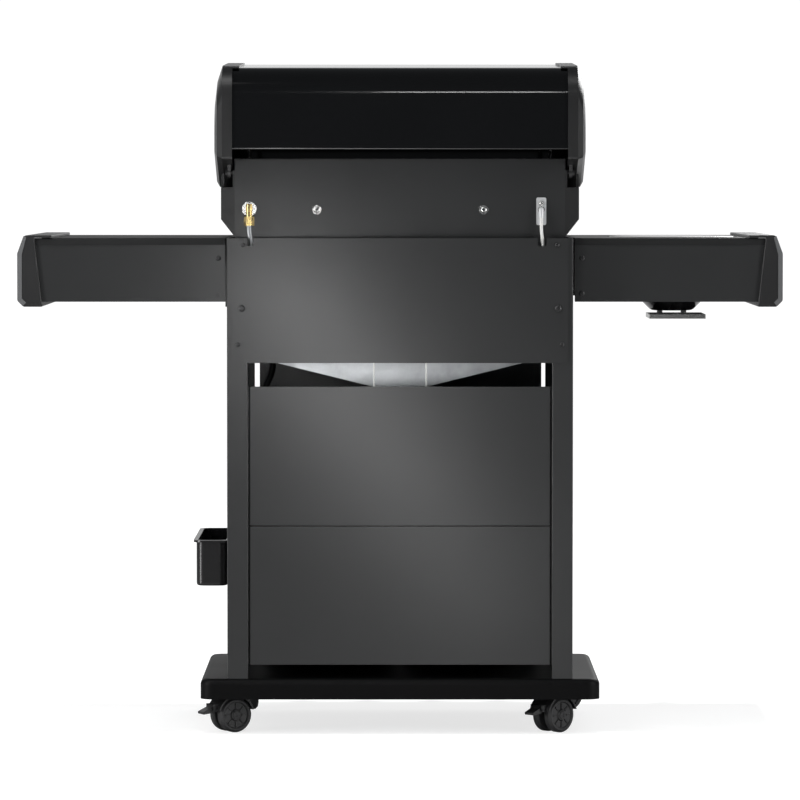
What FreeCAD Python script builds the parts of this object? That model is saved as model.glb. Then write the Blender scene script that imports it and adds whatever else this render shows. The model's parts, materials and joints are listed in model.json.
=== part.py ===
"""Gas barbecue grill on a cabinet cart, with a fixed shelf that holds a side burner and a shelf that folds down.

Millimetres. +Z is up and the front, with the doors and knobs, faces -Y. The origin is on the floor, at the
centre of the whole grill. Depths, called d, are measured forwards from the rear face of the cart.
"""
import FreeCAD, Part
import os
from math import atan2, cos, hypot, pi, radians, sin, tan

V = FreeCAD.Vector

# ---- driving dimensions -------------------------------------------------------------------------------
# Cart
CART_W = 622.0            # over the two side panels
CART_D = 450.0            # from rear face to front face
CART_TOP = 894.0          # top of the side panels
POST_W = 37.4             # width of the folded corner posts
POST_LIP = 15.0           # return lip of a corner post
SHEET = 1.5               # cart sheet steel
LID_REACH = 12.0          # lid stands this far behind the cart's rear face

# Base shelf and casters
WHEEL_R = 31.5
WHEEL_W = 18.0
WHEEL_INSIDE = 6.0        # inner face of a wheel from the middle of its caster
CASTER_TRAIL = 18.0
AXLE_R = 4.0
STEM_R = 5.5
BASE_LIFT = 1.0           # skirt's lower edge over the tops of the wheels
BASE_H = 37.0
BASE_WIDER = 49.0         # base outside each side of the cart
BASE_FRONT = 39.0         # and in front of its front face
BASE_REAR = 8.0           # base stands this far behind the cart's rear face
BASE_SHEET = 2.0
BASE_CORNER = 25.0
BASE_CROWN = 11.0         # rounding of the base's upper edge
SILL_H = 36.0             # sill behind the doors' lower edges
SILL_DEEP = 15.0
CASTER_IN = 20.0          # swivel axis from the cart's side
CASTER_INSET = 70.0       # swivel axis from the base's front and rear edges

# Rear panels
UPPER_PANEL_IN = 8.0      # side edge from the cart's side
UPPER_PANEL_H = 224.0
LOWER_PANEL_GAP = 2.6     # to the rear posts
LOWER_PANEL_UP = 25.0     # over the base
LOWER_PANEL_DROP = 267.0  # top edge under the cart's top
PANEL_SPLIT = 2.0
PANEL_RECESS = 3.0
PANEL_LIP = 8.0           # lip behind the seam, over the lower pan
PANEL_LIP_GAP = 0.4

# Doors
DOOR_GAP = 8.6            # between a door's outer edge and its post
DOOR_SHIFT = -1.0         # the pair hangs this far off centre
DOOR_SPLIT = 3.0
DOOR_T = 20.0
DOOR_UP = 13.0            # over the base
DOOR_TOP_GAP = 7.0        # under the control panel
DOOR_PIN_R = 3.0
DOOR_PIN_IN = 12.0        # pin axis from the door's outer edge

# Control panel
PANEL_H = 115.0
PANEL_REACH = 122.0       # in front of the cart's front face
KNOB_DROP = 56.0          # knob axes under the cart's top
KNOB_PITCH = 125.0
KNOB_R = 26.0
KNOB_L = 34.0
KNOB_PUSH = 3.0
VALVE_STEM_R = 4.0
MANIFOLD_OUT = 55.0       # manifold's axis in front of the cart's front face

# Firebox
TUB_REAR = 20.0           # firebox rear wall, in front of the cart's rear face
TUB_GAP = 14.0            # between cart side and firebox wall
TUB_OUT = 30.0            # firebox front wall, in front of the cart's front face
TUB_DROP = 159.0          # floor under the cart's top
TUB_RISE = 143.0          # rear wall's upper edge over the cart's top
TUB_FRONT_RISE = 91.0     # front wall's
TUB_SHEET = 1.5
END_T = 5.0
END_REACH = 25.0          # rim of a cast end outside the tub
END_FLARE = 27.0          # rise of its lower edge from the tub to the rim
BURNER_DROP = 52.0        # burner axes under the cart's top
BURNER_R = 12.0
GRID_RISE = 74.0          # underside of the cooking grids over the cart's top
GRID_BAR = 8.0
RACK_RISE = 201.0         # warming rack's wires over the cart's top
PIN_GAP = 0.05            # radial running clearance of pins and shafts

# Lid
LID_WIDER = 4.0           # sheet's end outside the firebox wall
LID_OUT = 50.0            # lid's front, in front of the cart's front face
LID_RISE = 319.0          # crest over the cart's top
LID_REAR_RISE = 159.0     # rear hem
LID_FRONT_RISE = 106.0    # front hem
LID_SHEET = 1.5
LID_AXIS_D = 30.0
LID_AXIS_RISE = 118.0
LID_PIN_R = 4.0
CAP_RIM = 18.0            # width of a cap's rear rim
CAP_DOME = 14.5           # dome outside the rim
CAP_PROUD = 3.0
CAP_WALL = 4.0
CAP_LIP = 12.0            # lip of a cap over the sheet's crest
CAP_LIP_DROP = 14.0       # how far down it reaches from the crest
CAP_REAR_RISE = 142.0     # a cap's lower edge at the rear, over the cart's top
CAP_SIDE_RISE = 88.0      # and from its knee forwards
CAP_KNEE_D = 150.0
LID_SEAM = 6.0            # between the caps and the cast ends below them
HANDLE_R = 12.0
HANDLE_L = 430.0
HANDLE_STAND = 58.0

# Shelves
SHELF_REAR = 40.0         # rear apron, in front of the cart's rear face
SHELF_OUT = 90.0          # front apron, in front of the cart's front face
SHELF_GAP = 4.0           # between cart side and shelf
SHELF_L = 375.0           # from the cart gap to the outside of the end cap
SHELF_H = 115.0
SHELF_LIP = 12.5
SHELF_BEND = 3.0
SHELF_SHEET = 1.5
CAP_LEN = 31.0
FOLD_IN = 13.0            # fold axis from the shelf's inner edge
FOLD_UP = 12.0            # fold axis above the shelf's lower edge
FOLD_PIN_R = 4.0

# Side burner
SIDE_X = 502.0
SIDE_D = 270.0
SIDE_RIM_R = 118.0
BOWL_DEPTH = 136.0
BOWL_SHEET = 1.5

# Drip pan and grease cup
PAN_IN = 49.0             # pan's edge from the cart's side
PAN_REAR = 80.0
PAN_FRONT = 70.0          # pan's front wall behind the cart's front face
PAN_DEEP = 64.0           # pan's bottom under its rails
PAN_SLOPE = 0.247
PAN_FLAT = 100.0
PAN_SHEET = 1.5
CUP_W = 90.0
CUP_H = 50.0
CUP_DROP = 38.0           # pan bottom to the cup's rim
WIRE_R = 1.75
WIRE_GAP = 0.3

# Basket
BASKET_Z = 264.0
BASKET_H = 83.0
BASKET_REACH = 63.0
BASKET_L = 330.0
BASKET_REAR = 50.0
BASKET_WALL = 3.0

# Lines
TUBE_DIA = 8.0
LEAD_DIA = 6.0
HOSE_DIA = 11.0

# ---- places that follow from them ---------------------------------------------------------------------
BASE_CLEAR = 2 * WHEEL_R + BASE_LIFT
BASE_W = CART_W + 2 * BASE_WIDER
BASE_D = BASE_REAR + CART_D + BASE_FRONT
CASTER_X = CART_W / 2 - CASTER_IN
UPPER_PANEL_W = CART_W - 2 * UPPER_PANEL_IN
PANEL_BOTTOM = CART_TOP - PANEL_H
KNOB_Z = CART_TOP - KNOB_DROP
MANIFOLD_D = CART_D + MANIFOLD_OUT
TUB_W = CART_W - 2 * TUB_GAP
TUB_FRONT = CART_D + TUB_OUT
TUB_Z = CART_TOP - TUB_DROP
TUB_TOP = CART_TOP + TUB_RISE
TUB_FRONT_TOP = CART_TOP + TUB_FRONT_RISE
BURNER_Z = CART_TOP - BURNER_DROP
GRID_Z = CART_TOP + GRID_RISE
RACK_Z = CART_TOP + RACK_RISE
LID_W = TUB_W + 2 * LID_WIDER
LID_FRONT = CART_D + LID_OUT
LID_TOP_Z = CART_TOP + LID_RISE
LID_REAR_Z = CART_TOP + LID_REAR_RISE
LID_FRONT_Z = CART_TOP + LID_FRONT_RISE
LID_AXIS_Z = CART_TOP + LID_AXIS_RISE
CAP_REAR_Z = CART_TOP + CAP_REAR_RISE
CAP_SIDE_Z = CART_TOP + CAP_SIDE_RISE
PAN_W = CART_W - 2 * PAN_IN
PAN_D = CART_D - PAN_FRONT - PAN_REAR
REAR_REACH = LID_REACH + CAP_PROUD
KNOB_GAP = KNOB_PUSH + 1.0
DEPTH = REAR_REACH + CART_D + PANEL_REACH + KNOB_GAP + KNOB_L
REAR_Y = DEPTH / 2 - REAR_REACH
CART_X = CART_W / 2
POST_X = CART_X - POST_W
LOWER_PANEL_W = 2 * (POST_X - LOWER_PANEL_GAP)
BASE_TOP = BASE_CLEAR + BASE_H
LOWER_PANEL_Z = BASE_TOP + LOWER_PANEL_UP
LOWER_PANEL_H = (CART_TOP - LOWER_PANEL_DROP - LOWER_PANEL_Z - PANEL_SPLIT) / 2
DOOR_Z = BASE_TOP + DOOR_UP
SHELF_X = CART_X + SHELF_GAP
SHELF_FRONT = CART_D + SHELF_OUT
SHELF_TOP = CART_TOP
SHELF_Z = SHELF_TOP - SHELF_H
FOLD_X = SHELF_X + FOLD_IN
FOLD_Z = SHELF_Z + FOLD_UP
PANEL_FRONT = CART_D + PANEL_REACH
TUB_X = TUB_W / 2
LID_X = LID_W / 2


# ---- helpers ------------------------------------------------------------------------------------------
def at(x, d, z):
    """A point at depth d in front of the cart's rear face."""
    return V(x, REAR_Y - d, z)


def slab(x0, x1, d0, d1, z0, z1):
    """A box between two corners, its second pair being depths."""
    return Part.makeBox(abs(x1 - x0), abs(d1 - d0), abs(z1 - z0), at(min(x0, x1), max(d0, d1), min(z0, z1)))


def rod(start, end, radius):
    """A round bar between two points."""
    return Part.makeCylinder(radius, (end - start).Length, start, end - start)


def bend(points, i, closed):
    """Corner i of an outline as (start, middle, end), or None where the corner is sharp or an end."""
    n = len(points)
    if len(points[i]) < 3 or points[i][2] <= 0 or (not closed and i in (0, n - 1)):
        return None
    here, before, after = points[i], points[i - 1], points[(i + 1) % n]
    u0, v0 = before[0] - here[0], before[1] - here[1]
    u1, v1 = after[0] - here[0], after[1] - here[1]
    l0, l1 = hypot(u0, v0), hypot(u1, v1)
    u0, v0, u1, v1 = u0 / l0, v0 / l0, u1 / l1, v1 / l1
    half = atan2(abs(u0 * v1 - v0 * u1), u0 * u1 + v0 * v1) / 2
    radius = here[2]
    leg = radius / tan(half)
    mu, mv = u0 + u1, v0 + v1
    ml = hypot(mu, mv)
    reach = radius / sin(half) - radius
    return ((here[0] + u0 * leg, here[1] + v0 * leg),
            (here[0] + mu / ml * reach, here[1] + mv / ml * reach),
            (here[0] + u1 * leg, here[1] + v1 * leg))


def edges(points, place, closed=True):
    """Lines and tangent arcs through (u, v) or (u, v, radius) points; place turns (u, v) into a point."""
    corners = [bend(points, i, closed) for i in range(len(points))]
    made = []
    count = len(points) if closed else len(points) - 1
    for i in range(count):
        j = (i + 1) % len(points)
        start = corners[i][2] if corners[i] else points[i][:2]
        end = corners[j][0] if corners[j] else points[j][:2]
        if hypot(end[0] - start[0], end[1] - start[1]) > 1e-6:
            made.append(Part.LineSegment(place(*start), place(*end)).toShape())
        if corners[j]:
            made.append(Part.Arc(*[place(*p) for p in corners[j]]).toShape())
    return made


def face(points, place):
    return Part.Face(Part.Wire(edges(points, place)))


def along_x(points, x0, x1):
    """An outline of (d, z) points, extruded from x0 to x1."""
    return face(points, lambda d, z: at(x0, d, z)).extrude(V(x1 - x0, 0, 0))


def along_d(points, d0, d1):
    """An outline of (x, z) points, extruded from depth d0 to d1."""
    return face(points, lambda x, z: at(x, d0, z)).extrude(V(0, d0 - d1, 0))


def along_z(points, z0, z1):
    """An outline of (x, d) points, extruded from height z0 to z1."""
    return face(points, lambda x, d: at(x, d, z0)).extrude(V(0, 0, z1 - z0))


def rectangle(u0, u1, v0, v1, radius=0.0):
    return [(u0, v0, radius), (u1, v0, radius), (u1, v1, radius), (u0, v1, radius)]


def strip(path, thickness):
    """The closed outline of a sheet that lies on an open path, on its left side."""
    other = []
    for i, point in enumerate(path):
        before = path[max(i - 1, 0)]
        after = path[min(i + 1, len(path) - 1)]
        u0, v0 = (point[0] - before[0], point[1] - before[1]) if i else (after[0] - point[0], after[1] - point[1])
        u1, v1 = (after[0] - point[0], after[1] - point[1]) if i < len(path) - 1 else (u0, v0)
        l0, l1 = hypot(u0, v0), hypot(u1, v1)
        n0, n1 = (-v0 / l0, u0 / l0), (-v1 / l1, u1 / l1)
        share = thickness / (1 + n0[0] * n1[0] + n0[1] * n1[1])
        turn = u0 * v1 - v0 * u1
        radius = point[2] if len(point) > 2 else 0.0
        moved = radius - thickness if turn > 0 else radius + thickness
        other.append((point[0] + (n0[0] + n1[0]) * share, point[1] + (n0[1] + n1[1]) * share,
                      max(moved, 0.0) if radius else 0.0))
    return list(path) + other[::-1]


def turned(profile, base, axis):
    """A closed (radius, height) outline turned about an axis through base."""
    spin = FreeCAD.Rotation(V(0, 0, 1), axis)
    shape = face(profile, lambda r, h: V(r, 0, h)).revolve(V(0, 0, 0), V(0, 0, 1), 360)
    shape.Placement = FreeCAD.Placement(base, spin)
    return shape


def mirrored(shape):
    return shape.mirror(V(0, 0, 0), V(1, 0, 0))


def both_sides(shape):
    return [shape, mirrored(shape)]


def fused(first, *others):
    """One solid from pieces that meet, without the seams between coplanar faces."""
    return first.fuse(list(others)).removeSplitter()


def route_edges(points):
    """Straight runs joined by tangent arcs, each as large as its two runs allow, and the arcs' radii."""
    made, radii, last = [], [], points[0]
    for before, here, after in zip(points, points[1:], points[2:]):
        a, b = before - here, after - here
        run = min(a.Length, b.Length)
        a.normalize()
        b.normalize()
        half = a.getAngle(b) / 2
        leg = 0.45 * run
        radius = leg * tan(half)
        middle = a + b
        middle.normalize()
        reach = radius / sin(half) - radius
        start, end = here + a * leg, here + b * leg
        made.append(Part.LineSegment(last, start).toShape())
        made.append(Part.Arc(start, here + middle * reach, end).toShape())
        radii.append(radius)
        last = end
    made.append(Part.LineSegment(last, points[-1]).toShape())
    return made, radii


def tube(points, diameter, name):
    """A round tube along a route; prints its tightest arc and how its volume compares."""
    made, radii = route_edges(points)
    path = Part.Wire(made)
    start = (points[1] - points[0]).normalize()
    ring = Part.Wire(Part.makeCircle(diameter / 2, points[0], start))
    shape = path.makePipeShell([ring], True, True)
    share = shape.Volume / (pi * diameter ** 2 / 4 * path.Length)
    print(f"{name}: length {path.Length:.0f}, tightest arc {min(radii):.1f}, volume share {share:.4f}")
    print("  radii", " ".join(f"{r:.0f}" for r in radii))
    return shape


# ---- base shelf and casters ---------------------------------------------------------------------------
CASTERS = {                # side, depth of the swivel axis, heading of the trail in degrees from +Y to +X
    "rear_right": (1, -BASE_REAR + CASTER_INSET, 62.0),
    "rear_left": (-1, -BASE_REAR + CASTER_INSET, 48.0),
    "front_right": (1, BASE_D - BASE_REAR - CASTER_INSET, 172.0),
    "front_left": (-1, BASE_D - BASE_REAR - CASTER_INSET, 250.0),
}
HOOD_GAP = 1.5
HOOD_T = 3.0
PEDAL_W = 22.0
HOOD_TOP = 2 * WHEEL_R + HOOD_GAP + HOOD_T + 2.0
SOCKET_WALL = 4.0


def base_shelf():
    half = BASE_W / 2
    outer = along_z(rectangle(-half, half, -BASE_REAR, BASE_D - BASE_REAR, BASE_CORNER), BASE_CLEAR, BASE_TOP)
    crown = [e for e in outer.Edges if min(v.Z for v in e.Vertexes) > BASE_TOP - 0.1]
    outer = outer.makeFillet(BASE_CROWN, crown)
    t = BASE_SHEET
    inside = rectangle(-half + t, half - t, t - BASE_REAR, BASE_D - BASE_REAR - t, BASE_CORNER - t)
    inner = along_z(inside, BASE_CLEAR - 1, BASE_TOP - t)
    crown = [e for e in inner.Edges if min(v.Z for v in e.Vertexes) > BASE_TOP - t - 0.1]
    pan = outer.cut(inner.makeFillet(BASE_CROWN - t, crown))
    for side, d, _ in CASTERS.values():
        foot = at(side * CASTER_X, d, HOOD_TOP + 0.5)
        height = BASE_TOP - t - foot.z
        pan = pan.fuse(Part.makeCylinder(STEM_R + SOCKET_WALL, height, foot))
        pan = pan.cut(Part.makeCylinder(STEM_R + PIN_GAP, height - 2.0, foot))
    return pan


def hood_space(axle, radius):
    """A cylinder about a caster's axle, as wide as the whole caster."""
    return Part.makeCylinder(radius, 60, axle - V(0, 30, 0), V(0, 1, 0))


def caster(side, d, heading):
    """Fork with its hood and stem, twin wheels on their axle, and brake pedal; the trail points along +X."""
    axle = V(CASTER_TRAIL, 0, WHEEL_R)
    outside = WHEEL_INSIDE + WHEEL_W
    flat = lambda u, v: V(u, -WHEEL_INSIDE + 1.0, v)
    rib = face([(-9, HOOD_TOP, 3), (-11, WHEEL_R + 8.5, 8), (CASTER_TRAIL - 10, WHEEL_R - 9, 8),
                (CASTER_TRAIL + 9, WHEEL_R - 8, 7), (CASTER_TRAIL + 12, HOOD_TOP - 10, 6),
                (12, HOOD_TOP, 3)], flat).extrude(V(0, 2 * WHEEL_INSIDE - 2.0, 0))
    ring = Part.makeCylinder(WHEEL_R + HOOD_GAP + HOOD_T, 2 * outside + 2, axle - V(0, outside + 1, 0), V(0, 1, 0))
    hollow = Part.makeCylinder(WHEEL_R + HOOD_GAP, 2 * outside + 4, axle - V(0, outside + 2, 0), V(0, 1, 0))
    keep = Part.makeBox(90, 2 * outside + 4, 60, V(-32, -outside - 2, WHEEL_R + 9))
    hood = ring.cut(hollow).common(keep)
    head = Part.makeCylinder(13, HOOD_TOP - 2 * WHEEL_R - 1.0, V(0, 0, 2 * WHEEL_R + 1.0))
    stem = Part.makeCylinder(STEM_R, BASE_TOP - BASE_SHEET - HOOD_TOP - 4.0, V(0, 0, HOOD_TOP))
    fork = rib.fuse([hood, head, stem])
    wheels_cut = [Part.makeCylinder(WHEEL_R + HOOD_GAP, WHEEL_W + 4, axle + V(0, y, 0), V(0, 1, 0))
                  for y in (WHEEL_INSIDE - 1.0, -outside - 3.0)]
    fork = fork.cut(Part.makeCompound(wheels_cut)).removeSplitter()
    fork = fork.cut(Part.makeCylinder(AXLE_R + PIN_GAP, 40, axle - V(0, 20, 0), V(0, 1, 0)))

    edge, dish, hub = 4.0, 3.0, 9.0
    tread = [(0, 0), (hub, 0), (hub, 1.0), (WHEEL_R - 3, 1.0), (WHEEL_R, edge), (WHEEL_R, WHEEL_W - edge),
             (WHEEL_R - edge, WHEEL_W), (WHEEL_R - 7, WHEEL_W), (WHEEL_R - 9, WHEEL_W - dish),
             (hub + 2, WHEEL_W - dish), (hub, WHEEL_W), (0, WHEEL_W)]
    wheel = turned(tread, axle + V(0, WHEEL_INSIDE, 0), V(0, 1, 0))
    other = turned(tread, axle - V(0, WHEEL_INSIDE, 0), V(0, -1, 0))
    shaft = Part.makeCylinder(AXLE_R, 2 * WHEEL_INSIDE, axle - V(0, WHEEL_INSIDE, 0), V(0, 1, 0))
    wheels = wheel.fuse([other, shaft])

    tip = WHEEL_R + HOOD_GAP + HOOD_T + 4.0
    hinge = axle + V(tip - 4.0, 0, 14.0)
    pedal = face([(-9, 4.5, 2), (-9, -3.5, 2), (2, -9.5, 3), (20, -11.5, 1.5), (21, -7, 1.5), (4, 0.5, 4),
                  (0, 5.5, 2)],
                 lambda u, v: V(CASTER_TRAIL + tip + u, -PEDAL_W / 2, hinge.z + v)).extrude(V(0, PEDAL_W, 0))
    lugs = [Part.makeBox(13, 4, 12, V(CASTER_TRAIL + tip - 11.5, y, hinge.z - 6)) for y in (12.0, -16.0)]
    pin = Part.makeCylinder(1.5, 32, hinge - V(0, 16, 0), V(0, 1, 0))
    lugs = [lug.cut(hood_space(axle, WHEEL_R + HOOD_GAP + HOOD_T / 2)) for lug in lugs]
    pedal = pedal.cut(Part.makeCylinder(1.5 + PIN_GAP, 40, hinge - V(0, 20, 0), V(0, 1, 0)))
    pedal = pedal.cut(hood_space(axle, WHEEL_R + HOOD_GAP + HOOD_T + 1.2))
    place = FreeCAD.Placement(at(side * CASTER_X, d, 0), FreeCAD.Rotation(V(0, 0, 1), 90 - heading))
    braked = fork.fuse(lugs + [pin])
    made = {"plain": fork, "braked": braked, "wheels": wheels, "brake": pedal}
    for shape in made.values():
        shape.Placement = place.multiply(shape.Placement)
    return made


# ---- cart ---------------------------------------------------------------------------------------------
RAIL_DROP = 204.0          # shelf of the drip pan's rails under the cart's top
RAIL_Z = CART_TOP - RAIL_DROP
PAN_Z = RAIL_Z - PAN_DEEP
DOOR_SWING = 8.0           # room behind the doors for their edges as they turn
HEADER_H = 22.0            # box beam over the doors
HEADER_D = 20.0
HEADER_Z = PANEL_BOTTOM - 1.0 - HEADER_H


def cart_side():
    """The right side panel, folded into a corner post at front and rear."""
    inner = CART_X - POST_W
    path = [(inner, POST_LIP), (inner, 0, 1.5), (CART_X, 0, 1.5), (CART_X, CART_D, 1.5), (inner, CART_D, 1.5),
            (inner, CART_D - POST_LIP)]
    side = along_z(strip(path, SHEET), BASE_TOP, CART_TOP)
    opened = slab(inner - 1, CART_X - SHEET, CART_D - POST_LIP - 1, CART_D + 1, PANEL_BOTTOM, CART_TOP + 1)
    return side.cut(opened)


def cart_sides():
    """Both side panels, the right one slotted for the basket's hooks."""
    return [cart_side().cut(Part.makeCompound(basket_slots())), mirrored(cart_side())]


def cart_rails():
    """Rails that the drip pan hangs on, the header over the doors, the sill and the firebox's beams."""
    made = []
    wall = CART_X - SHEET
    path = [(wall, RAIL_Z + 30), (wall, RAIL_Z), (PAN_W / 2 - 2, RAIL_Z)]
    rail = along_d(strip(path, -SHEET), POST_LIP + 6, CART_D - DOOR_T - DOOR_SWING)
    made += both_sides(rail)
    header = slab(-POST_X, POST_X, CART_D - HEADER_D, CART_D, HEADER_Z, HEADER_Z + HEADER_H)
    header = header.cut(slab(-CART_X, CART_X, CART_D - HEADER_D + SHEET, CART_D - SHEET, HEADER_Z + SHEET,
                             HEADER_Z + HEADER_H - SHEET))
    made.append(header)
    sill_d = CART_D - DOOR_T - DOOR_SWING - 2.0
    sill = [(sill_d, BASE_TOP + SILL_H), (sill_d, BASE_TOP), (sill_d - SILL_DEEP, BASE_TOP)]
    made.append(along_x(strip(sill, -SHEET), -wall, wall))
    made += both_sides(slab(TUB_X, wall, 60, 64, CART_TOP - 60, CART_TOP - 2))
    made += both_sides(slab(TUB_X, wall, CART_D - 64, CART_D - 60, CART_TOP - 60, CART_TOP - 2))
    return made


def screw(centre, radius, head, length, direction):
    """A pan-head screw whose head stands out along direction."""
    body = turned([(0, -length), (radius * 0.5, -length), (radius * 0.5, 0), (radius, 0), (radius * 0.92, head * 0.6),
                   (radius * 0.55, head), (0, head)], centre, direction)
    return body


PANEL_SCREWS = (            # in from the side, down from the top, radius of the head
    (29.0, 12.0, 4.0),
    (27.0, 126.0, 6.0),
    (20.0, 191.0, 4.0),
)


def rear_panel_upper():
    half, top, low = UPPER_PANEL_W / 2, CART_TOP, CART_TOP - UPPER_PANEL_H
    notch = [(GAS_X, 8.0, 14.0), (LEAD_X - 1, 8.0, 14.0)]
    panel = along_d([(-half, low, 6), (half, low, 6), (half, top, 1), (-half, top, 1)], -SHEET, 0)
    for x, wide, deep in notch:
        panel = panel.cut(along_d([(x - wide, top - deep, 4), (x + wide, top - deep, 4), (x + wide, top + 5),
                                   (x - wide, top + 5)], -SHEET - 1, 1))
    for side, drop, radius in PANEL_SCREWS:
        hole = rod(at(CART_X - side, -SHEET - 1, top - drop), at(CART_X - side, 1, top - drop), radius * 0.5)
        panel = panel.cut(both_sides(hole))
    return panel


def rear_panel_screws():
    made = []
    for side, drop, radius in PANEL_SCREWS:
        foot = at(CART_X - side, -SHEET, CART_TOP - drop)
        made += both_sides(screw(foot, radius, radius * 0.55, SHEET, V(0, 1, 0)))
    return made


def rear_panels_lower():
    """Two equal pans between the rear posts, flanged out behind the posts' lips; a lip backs their seam."""
    half, back = LOWER_PANEL_W / 2, POST_LIP
    inner = half - 2
    path = [(POST_X + 12, back), (half, back, 1.5), (half, PANEL_RECESS, 2), (-half, PANEL_RECESS, 2),
            (-half, back, 1.5), (-POST_X - 12, back)]
    made = []
    for i in range(2):
        z0 = LOWER_PANEL_Z + i * (LOWER_PANEL_H + PANEL_SPLIT)
        z1 = z0 + LOWER_PANEL_H
        pan = along_z(strip(path, -SHEET), z0, z1)
        ends = [slab(-inner, inner, PANEL_RECESS + SHEET * 0.5, back, z, z + SHEET) for z in (z0, z1 - SHEET)]
        if i == 0:
            behind = back + PANEL_LIP_GAP
            ends.append(slab(-inner + SHEET, inner - SHEET, back - SHEET, behind + SHEET, z1 - SHEET, z1))
            ends.append(slab(-inner + SHEET, inner - SHEET, behind, behind + SHEET, z1 - SHEET, z1 + PANEL_LIP))
        made.append(fused(pan, *ends))
    return made


def door(side):
    """A pan door with a bar handle; side is 1 for the right-hand door."""
    middle = DOOR_SHIFT + side * DOOR_SPLIT / 2
    outer = DOOR_SHIFT + side * (POST_X - DOOR_GAP)
    x0, x1 = sorted((middle, outer))
    z0, z1 = DOOR_Z, HEADER_Z - DOOR_TOP_GAP
    t = SHEET
    pan = slab(x0, x1, CART_D - DOOR_T, CART_D, z0, z1)
    upright = [e for e in pan.Edges if abs(e.Vertexes[0].Z - e.Vertexes[1].Z) > 1
               and e.Vertexes[0].Y < REAR_Y - CART_D + 0.1]
    pan = pan.makeFillet(3.0, upright)
    pan = pan.cut(slab(x0 + t, x1 - t, CART_D - DOOR_T - 1, CART_D - t, z0 + t, z1 - t))
    lip = 14.0
    for a, b in ((x0, x0 + lip), (x1 - lip, x1)):
        pan = pan.fuse(slab(a + t * 0.5, b - t * 0.5, CART_D - DOOR_T, CART_D - DOOR_T + t, z0, z1))
    px = outer - side * DOOR_PIN_IN
    pd = CART_D - DOOR_T / 2
    for z in (z0, z1 - 12):
        pan = pan.fuse(slab(px - 7, px + 7, pd - 8, CART_D - t * 0.5, z, z + 12))
    pan = pan.cut(rod(at(px, pd, z0 - 1), at(px, pd, z1 + 1), DOOR_PIN_R + PIN_GAP)).removeSplitter()
    hx = middle + side * 28
    grip = slab(hx - 6, hx + 6, CART_D + 22, CART_D + 34, z1 - 330, z1 - 90)
    grip = grip.makeFillet(4.0, grip.Edges)
    feet = [slab(hx - 4, hx + 4, CART_D, CART_D + 24, z, z + 14) for z in (z1 - 322, z1 - 112)]
    handle = fused(grip, *feet)
    return [pan, handle], px, pd, z0, z1


def door_pins():
    made = []
    for side in (1, -1):
        _, px, pd, z0, z1 = door(side)
        foot = Part.makeCylinder(DOOR_PIN_R + 4, z0 - BASE_TOP - 0.5, at(px, pd, BASE_TOP))
        made.append(fused(foot, rod(at(px, pd, BASE_TOP), at(px, pd, z0 + 10), DOOR_PIN_R)))
        made.append(rod(at(px, pd, z1 - 10), at(px, pd, HEADER_Z), DOOR_PIN_R))
    return made


# ---- control panel, knobs and gas manifold ------------------------------------------------------------
KNOBS = {                  # name: x of its axis
    "burner_left": -KNOB_PITCH * 1.5,
    "burner_middle": -KNOB_PITCH * 0.5,
    "burner_right": KNOB_PITCH * 0.5,
    "rear_burner": KNOB_PITCH * 1.5,
    "side_burner": -SIDE_X,
}
IGNITER_X = 43.0 - CART_X
IGNITER_R = 9.0
VALVE_HOLE_R = 7.0
STEM_FLAT = 1.5            # depth of the flat on a valve's stem
KNOB_FRONT = 8.0           # from the stem's end to the knob's front


def panel_face():
    """Section of the control panel: top lip, front face and bottom return."""
    top = CART_TOP - 1.0
    return [(LID_FRONT + 12, top), (PANEL_FRONT, top, 16), (PANEL_FRONT, PANEL_BOTTOM, 10),
            (CART_D + 0.5, PANEL_BOTTOM, 2), (CART_D + 0.5, PANEL_BOTTOM + 14)]


def control_panel():
    panel = along_x(strip(panel_face(), -SHEET), -CART_X, CART_X)
    ends = [(LID_FRONT + 12, CART_TOP - 2), (PANEL_FRONT - SHEET, CART_TOP - 2, 15),
            (PANEL_FRONT - SHEET, PANEL_BOTTOM + SHEET, 9), (CART_D + 0.5, PANEL_BOTTOM + SHEET),
            (CART_D + 0.5, CART_TOP - 20)]
    plates = [along_x(ends, x, x + SHEET) for x in (-CART_X, CART_X - SHEET)]
    panel = fused(panel, *plates)
    for name, x in KNOBS.items():
        if name != "side_burner":
            panel = panel.cut(rod(at(x, CART_D, KNOB_Z), at(x, PANEL_FRONT + 5, KNOB_Z), VALVE_HOLE_R))
    panel = panel.cut(rod(at(IGNITER_X, CART_D, KNOB_Z), at(IGNITER_X, PANEL_FRONT + 5, KNOB_Z), IGNITER_R + 0.5))
    back = PANEL_FRONT - SHEET
    housing = rod(at(IGNITER_X, back - 43.5, KNOB_Z), at(IGNITER_X, back, KNOB_Z), IGNITER_R + 4)
    bore = rod(at(IGNITER_X, back - 32, KNOB_Z), at(IGNITER_X, back + 1, KNOB_Z), IGNITER_R + 0.5)
    return [panel, housing.cut(bore)]


def valve_front(name):
    """Depth of the front of a valve's body."""
    return MANIFOLD_D + 26 if name != "side_burner" else SHELF_FRONT - 20


def valve_stem(name):
    """D-shaped valve stem: it turns in the valve, and its knob slides on it."""
    x, front = KNOBS[name], valve_front(name)
    end = knob_back(name) + KNOB_L - KNOB_FRONT
    stem = rod(at(x, front - 12, KNOB_Z), at(x, end, KNOB_Z), VALVE_STEM_R)
    flat = slab(x - 10, x + 10, knob_back(name) + 2, end + 1, KNOB_Z + VALVE_STEM_R - STEM_FLAT, KNOB_Z + 10)
    collar = rod(at(x, front + 0.5, KNOB_Z), at(x, front + 3.5, KNOB_Z), VALVE_STEM_R + 2)
    return stem.fuse(collar).cut(flat)


def knob_back(name):
    """Depth of a knob's rear face at rest."""
    face_d = PANEL_FRONT if name != "side_burner" else SHELF_FRONT
    return face_d + KNOB_GAP


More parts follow.
